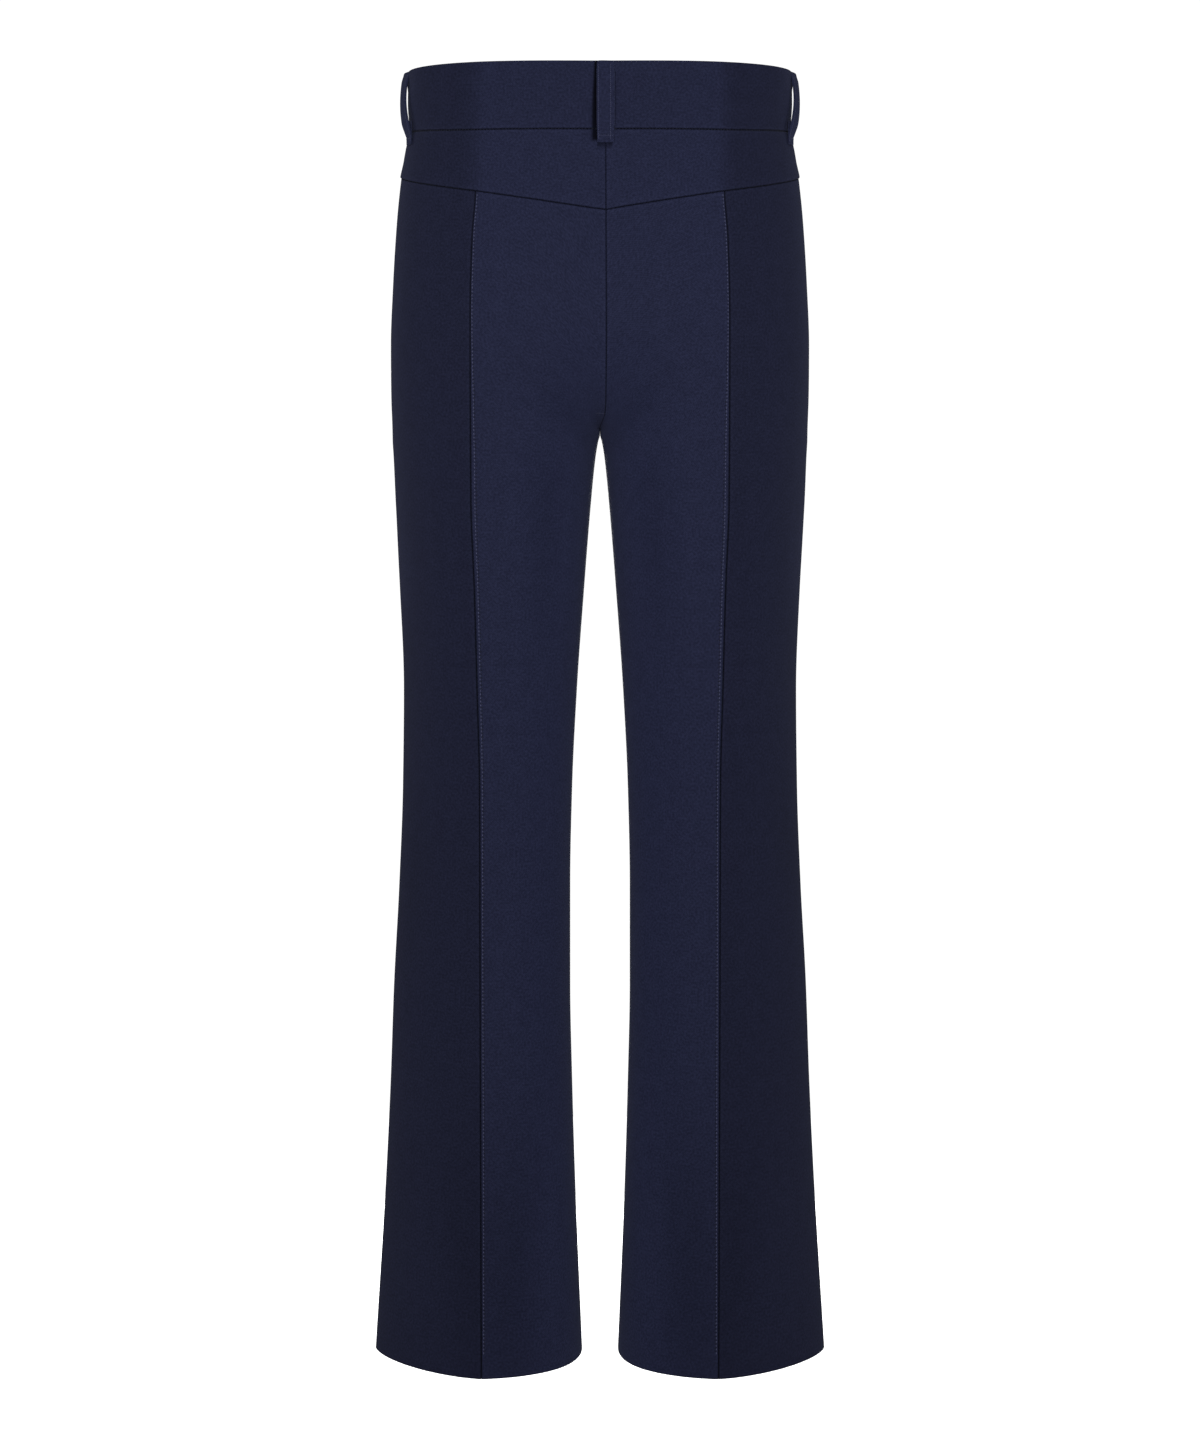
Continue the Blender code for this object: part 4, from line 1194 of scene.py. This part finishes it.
def belt_loop(node, stations, slack, half, cloth, thread, twist=(0.0, 0.0)):
    """A strip turned under at both ends and sewn on there, with a row of stitches along each edge and one
    across its foot."""
    foot, top = stations
    heights = np.array([band_edge("seam", foot) - LOOP_FOOT, band_edge("top", top) - LOOP_BEND])
    ends, out = on_form(np.array(stations), heights)
    level = out * (1, 1, 0)
    share = np.linspace(0, 1, LOOP_ROWS)[:, None]
    out = unit(level[0] + (level[1] - level[0]) * share)
    bowed = ((share - LOOP_BOW_FROM) / (1 - LOOP_BOW_FROM)).clip(0, 1)
    bow = np.sin(np.pi * bowed) ** LOOP_BOW_FULL
    loose, end, reach = LOOP_FREE
    free = ease(share / loose)
    full = free * ease((end - share) / reach)
    ply = LOOP_PLY[0] + (LOOP_PLY[1] - LOOP_PLY[0]) * full
    thick = 2 * LOOP_BEND * (1 - full) + ply * full
    turn = free * (twist[0] + (twist[1] - twist[0]) * (2 * share - 1).clip(0) ** 2)
    face = ends[0] + (ends[1] - ends[0]) * share + out * (SEAM_GAP + thick + slack * bow)
    up_and_out = unit(np.array([0, 0, 1]) + LOOP_TOP_LEAN * out[-1])
    at_foot = folded_end(face[0], unit(face[0] - face[1]), out[0], LOOP_UNDER[0])[::-1]
    at_top = folded_end(face[-1], up_and_out, out[-1], LOOP_UNDER[1])
    first, last = len(at_foot), len(at_top)
    path = np.concatenate([at_foot, face, at_top])
    out, ply = (np.pad(values, ((first, last), (0, 0)), mode="edge") for values in (out, ply))
    turn = np.pad(turn, ((first, last), (0, 0)), mode="linear_ramp")
    across = np.cross((0, 0, 1), out)
    made, outer, facing = strap("cloth_" + node, path, out, across, ply[:, 0], turn[:, 0], half, cloth)
    rows = slice(first + 1, first + LOOP_ROWS - 1)
    raised = outer + facing[:, None] * THREAD_LIFT
    lines = [(raised[rows, column], facing[rows]) for column in LOOP_STITCH_COLUMNS]
    row = first + LOOP_TACK_ROW
    tack = raised[row, 2:-2]
    lines.append((tack, np.broadcast_to(facing[row], tack.shape)))
    sewn = stitches("stitches_" + node, lines, thread, FINE_PITCH, FINE_STITCH)
    declare_cloth(made, node)


# ---------------------------------------------------------------- the fastening
BUTTON_STATION = 3.8
CUTTER_REACH = 6.0  # how far a cutter reaches through the cloth
BUTTONHOLE_PITCH = 0.62
BUTTONHOLE_STITCH = (1.5, 0.55, 0.42)
BUTTONHOLE_HEIGHTS = (0.05, 0.1, 0.0)  # of a stitch over the band, from its edge outwards
BUTTON_PROFILE = (  # the distance in from its rim, and the height
    (BUTTON_RADIUS, SEAM_GAP),
    (1.2, SEAM_GAP),
    (0.3, SEAM_GAP + 0.5),
    (0.0, SEAM_GAP + 1.2),
    (0.2, 2.3),
    (0.9, 2.8),
    (2.0, 2.7),
    (2.9, 2.0),
    (3.7, 1.7),
    (BUTTON_RADIUS, 1.7),
)
BUTTON_STEPS = 64
BUTTON_SHARP = math.radians(35)  # an edge of its profile that is sharper isn't shaded smooth
BUTTON_HOLE = (0.8, 1.7)  # radius, and distance from the middle in x and y
BUTTON_STITCH = (1.0, 0.42, 0.40)
BUTTON_PITCH = 0.55
STRAND_SPREAD = (-0.28, 0, 0.28)
STRAND_ARCH = (1.95, 0.5)  # height over the band, and how far the ends dip into the holes
ZIP_X = 12.0
TOOTH = Vector((2.6, 0.9, 1.0))
TOOTH_PITCH = 2.4
TOOTH_OFF_MIDDLE = 0.55
TOOTH_PROUD = -0.65  # it lies behind the cloth
TOOTH_ROUND = 0.2
ZIP_ENDS = (4.0, 17.0)  # how far the chain stays off the fly's foot and off the waistband


def stand_on_form(x, z, proud):
    """The place at x on the front, with its own Z facing out and its own Y up the cloth."""
    station = 4 - stations_off_centre(x, z, 4.0)
    point, out = on_form(station, z, proud)
    facing = Vector(out)
    across = Vector((0, 0, 1)).cross(facing).normalized()
    turn = Matrix((across, facing.cross(across), facing)).transposed()
    return Matrix.Translation(Vector(point) * MM) @ turn.to_4x4()


def button_place():
    """Half way up the waistband."""
    height = 0.5 * float(band_edge("seam", BUTTON_STATION) + band_edge("top", BUTTON_STATION))
    return stand_on_form(BUTTON_X, height, BAND_PROUD)


def line_in_place(points, place):
    """A thread's line drawn flat at the origin, moved to its place, and its outward directions."""
    turn = np.array(place.to_3x3())
    return points @ turn.T + np.array(place.translation) / MM, np.tile(turn[:, 2], (len(points), 1))


def slot_outline(length, height, steps=9):
    """Points round a slot with round ends, and their directions away from it."""
    radius, straight = height / 2, (length - height) / 2
    angle = np.radians(np.linspace(-90, 90, steps))
    right = np.stack([straight + radius * np.cos(angle), radius * np.sin(angle)], axis=1)
    away = np.stack([np.cos(angle), np.sin(angle)], axis=1)
    return np.concatenate([right, -right]), np.concatenate([away, -away])


def buttonhole(band, thread):
    """Cuts the slot and works it with close stitches all round."""
    place = button_place()
    ring, away = slot_outline(*BUTTONHOLE)
    count = len(ring)
    walls = [(i, (i + 1) % count, count + (i + 1) % count, count + i) for i in range(count)]
    caps = [tuple(range(count))[::-1], tuple(range(count, 2 * count))]
    corners = [(*point, depth) for depth in (-CUTTER_REACH, CUTTER_REACH) for point in ring]
    mesh = new_mesh("buttonhole cutter", corners, walls + caps)
    mesh.transform(place)
    cut_away(band, mesh)
    ring, away = (np.concatenate([values, values[:1]]) for values in (ring, away))
    along = lengths_along(ring, 0)
    at = np.arange(0, along[-1], BUTTONHOLE_PITCH)
    lines = []
    for point, way in zip(values_at(at, along, ring), unit(values_at(at, along, away))):
        ends = [(*(point + way * step), height) for step, height in enumerate(BUTTONHOLE_HEIGHTS)]
        lines.append(line_in_place(np.array(ends), place))
    stitches("stitches_buttonhole", lines, thread, 1.0, BUTTONHOLE_STITCH)


def button_holes():
    """The mesh that cuts the button's four holes."""
    radius, off = BUTTON_HOLE
    sizes = {"radius1": radius * MM, "radius2": radius * MM, "depth": CUTTER_REACH * MM}
    cutters = bmesh.new()
    for x in (-off, off):
        for y in (-off, off):
            at = Matrix.Translation(Vector((x, y, 1)) * MM)
            bmesh.ops.create_cone(cutters, cap_ends=True, segments=20, matrix=at, **sizes)
    return mesh_of(cutters, "holes")


def waist_button(material, thread):
    """A turned button with a rim and four holes, sewn on crosswise through a thread shank."""
    points = [(BUTTON_RADIUS - inwards, 0, height) for inwards, height in BUTTON_PROFILE]
    outline = [(i, i + 1) for i in range(len(points) - 1)]
    mesh = new_mesh("resin_button", points, edges=outline)
    button = add_object("resin_button", mesh, material)
    steps = {"steps": BUTTON_STEPS, "render_steps": BUTTON_STEPS}
    merge = {"use_merge_vertices": True, "merge_threshold": MERGE_M}
    worked(button, "SCREW", use_normal_flip=True, use_smooth_shade=True, **steps, **merge)
    cut_away(button, button_holes())
    place = button_place()
    button.data.transform(place)
    button.data.set_sharp_from_angle(angle=BUTTON_SHARP)
    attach(button, "root")
    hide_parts("waist_button")
    along, (height, dip) = np.linspace(-1, 1, 9), STRAND_ARCH
    arch = np.stack([0 * along, 0 * along, height - dip * along**4], axis=1)
    lines = []
    for spread in STRAND_SPREAD:
        for slope in (-1, 1):
            run = along[:, None] * np.array([1.0, slope, 0]) * BUTTON_HOLE[1]
            side = np.array([-slope, 1.0, 0]) / math.sqrt(2) * spread
            lines.append(line_in_place(run + side + arch, place))
    stitches("stitches_button", lines, thread, BUTTON_PITCH, BUTTON_STITCH)


def zip_teeth(metal):
    """Two rows of small teeth that mesh, along the closed chain."""
    foot = FLY_END_Z + FLY_FADE + ZIP_ENDS[0]
    top = float(band_edge("seam", 4.0)) - ZIP_ENDS[1]
    block = bmesh.new()
    for index, height in enumerate(np.arange(foot, top, TOOTH_PITCH / 2)):
        side = 1 if index % 2 else -1
        place = stand_on_form(ZIP_X + side * TOOTH_OFF_MIDDLE, height, TOOTH_PROUD)
        bmesh.ops.create_cube(block, size=1.0, matrix=place @ Matrix.Diagonal((*(TOOTH * MM), 1)))
    made = add_object("zip_teeth", mesh_of(block, "zip_teeth"), metal)
    round_edges(made, TOOTH_ROUND, 1)
    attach(made, "root")


# ---------------------------------------------------------------- inside
ALLOWANCE_BEHIND = 0.5  # how far it lies behind the cloth
ALLOWANCE_ROWS = 150
ALLOWANCE_CLEAR = 3.0  # off a hem's allowance, the yoke's seam and the waist seam
ALLOWANCE_OFF_CROTCH = 0.5


def seam_allowance(name, half, stations, low_z, high_z, cloth):
    """The overlocked edges of two panels, pressed flat inside along their seam."""
    z = low_z + (high_z - low_z) * np.linspace(0, 1, ALLOWANCE_ROWS)[:, None]
    points, _ = half_points(half, stations + 0 * z, z, -CLOTH - ALLOWANCE_BEHIND)
    piece = add_object(name, grid_mesh(name, points, half), cloth)
    declare_cloth(thicken(piece, ALLOWANCE_CLOTH), None)


def seam_allowances(cloth):
    edge = ALLOWANCE / STATION_WIDTH
    both = edge * np.linspace(-1, 1, 7)[None, :]
    back, side, inseam = 1 + edge * np.linspace(-1, 0, 5)[None, :], 2 + both, 4 + both
    crotch = np.full(both.shape, CROTCH_Z)
    for half in (1, -1):
        for seam, stations, top in (
            ("back_seam", back, yoke_seam(back) - ALLOWANCE_CLEAR),
            ("side_seam", side, band_edge("seam", side) - ALLOWANCE_CLEAR),
            ("inseam", inseam, crotch - ALLOWANCE_OFF_CROTCH),
        ):
            low = hem(stations % 4) + HEM_TURN + ALLOWANCE_CLEAR
            seam_allowance(side_name("allowance_" + seam, half), half, stations, low, top, cloth)
    over_crotch, fly_end = crotch + ALLOWANCE_OFF_CROTCH, np.full(both.shape, FLY_END_Z + FLY_FADE)
    waist = band_edge("seam", both) - ALLOWANCE_CLEAR
    seam_allowance("allowance_seat_seam", 1, both, over_crotch, waist, cloth)
    seam_allowance("allowance_front_seam", 1, 4 + both, over_crotch, fly_end, cloth)


# ---------------------------------------------------------------- the studio
FLOOR_HALF = 4000.0
WORLD_LIGHT, WORLD_SEEN = 0.28, 0.77  # what lights the cloth, and what the camera sees besides
KEY_LIGHT = (1.0, 1.0, 33.0)  # width and height in metres, and watts
NEAR_LIGHT = (0.6, 0.6, 8.2)
SIDE_LIGHT = (0.8, 1.2, 18.0)
LIGHTS = {  # place and aim in metres, and kind
    "seat key": ((0, -2.6, -0.3), (0, 0, -0.4), KEY_LIGHT),
    "seat near light": ((0, -1.2, -0.1), (0, 0, -0.2), NEAR_LIGHT),
    "front key": ((0, 2.6, -0.3), (0, 0, -0.4), KEY_LIGHT),
    "front near light": ((0, 1.2, -0.1), (0, 0, -0.2), NEAR_LIGHT),
    "left side light": ((-2.8, 0, -0.3), (0, 0, -0.4), SIDE_LIGHT),
    "right side light": ((2.8, 0, -0.3), (0, 0, -0.4), SIDE_LIGHT),
}


def add_camera():
    data = bpy.data.cameras.new("camera")
    data.sensor_fit = "HORIZONTAL"
    data.sensor_width = SENSOR
    data.lens = SENSOR * CAMERA_AWAY / (PHOTO[0] * MM_PER_PIXEL)
    data.clip_start, data.clip_end = 0.1, 60.0
    made = add_object("camera", data)
    made.location = (0, -CAMERA_AWAY * MM, CAMERA_Z * MM)
    made.rotation_euler = (math.radians(90), 0, 0)
    bpy.context.scene.camera = made


def add_lights():
    for name, (place, aim, (width, height, watts)) in LIGHTS.items():
        data = bpy.data.lights.new(name, "AREA")
        data.shape = "RECTANGLE"
        data.size, data.size_y = width, height
        data.energy = watts
        made = add_object(name, data)
        made.location = place
        made.rotation_euler = (Vector(aim) - Vector(place)).to_track_quat("-Z", "Y").to_euler()


def add_studio():
    square = ((-1, -1), (1, -1), (1, 1), (-1, 1))
    corners = [(FLOOR_HALF * x, FLOOR_HALF * y, FLOOR_Z) for x, y in square]
    mesh = new_mesh("floor", corners, [(0, 1, 2, 3)])
    white = (1, 1, 1, 1)
    glow = {"Emission_Color": white, "Emission_Strength": 1.0}
    material, _, _ = new_material("pale floor", PALE, Roughness=0.9, Specular_IOR_Level=0.0, **glow)
    floor = add_object("floor", mesh, material)
    floor.visible_diffuse = False
    floor.visible_glossy = False
    world = bpy.data.worlds.new("studio")
    bpy.context.scene.world = world
    world.use_nodes = True
    tree = world.node_tree
    back = tree.nodes["Background"]
    back.inputs["Color"].default_value = white
    seen = (tree.nodes.new("ShaderNodeLightPath"), "Is Camera Ray")
    link(tree, math_node(tree, "MULTIPLY_ADD", seen, WORLD_SEEN, WORLD_LIGHT), 0, back, "Strength")
    add_lights()
    bpy.context.scene.view_settings.view_transform = "Standard"


# ---------------------------------------------------------------- the trousers
def main():
    add_camera()
    add_studio()
    weave = weave_group()
    cloth = suiting(weave)
    thread = sewing_thread("topstitch thread", THREAD)
    dark = sewing_thread("seam thread", DARK_THREAD)

    for half in (1, -1):
        centre_back_panel(half, cloth, thread, dark)
        side_back_panel(half, cloth)
        front_panel(half, cloth, thread)
        yoke(half, cloth)
    back_waistband(cloth, dark)
    seam_allowances(cloth)
    for half in (1, -1):
        front_waistband(half, cloth, dark)

    centre = float(centre_back(0.0))
    belt_loop("loop_back_centre", (centre, centre), LOOP_SLACK, 1, cloth, thread, CENTRE_LOOP_TWIST)
    for half in (1, -1):
        name = side_name("loop_side", half)
        belt_loop(name, SIDE_LOOP, SIDE_LOOP_SLACK, half, cloth, thread, SIDE_LOOP_TWIST)
        name = side_name("loop_front", half)
        belt_loop(name, FRONT_LOOP, LOOP_SLACK, half, cloth, thread)

    metal = zip_metal()
    waist_button(resin(), dark)
    zip_teeth(metal)
    for node, material in (("fly_zip", zip_tape(weave)), ("zip_slider", metal)):
        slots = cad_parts[node].data.materials
        slots.clear()
        slots.append(material)


main()
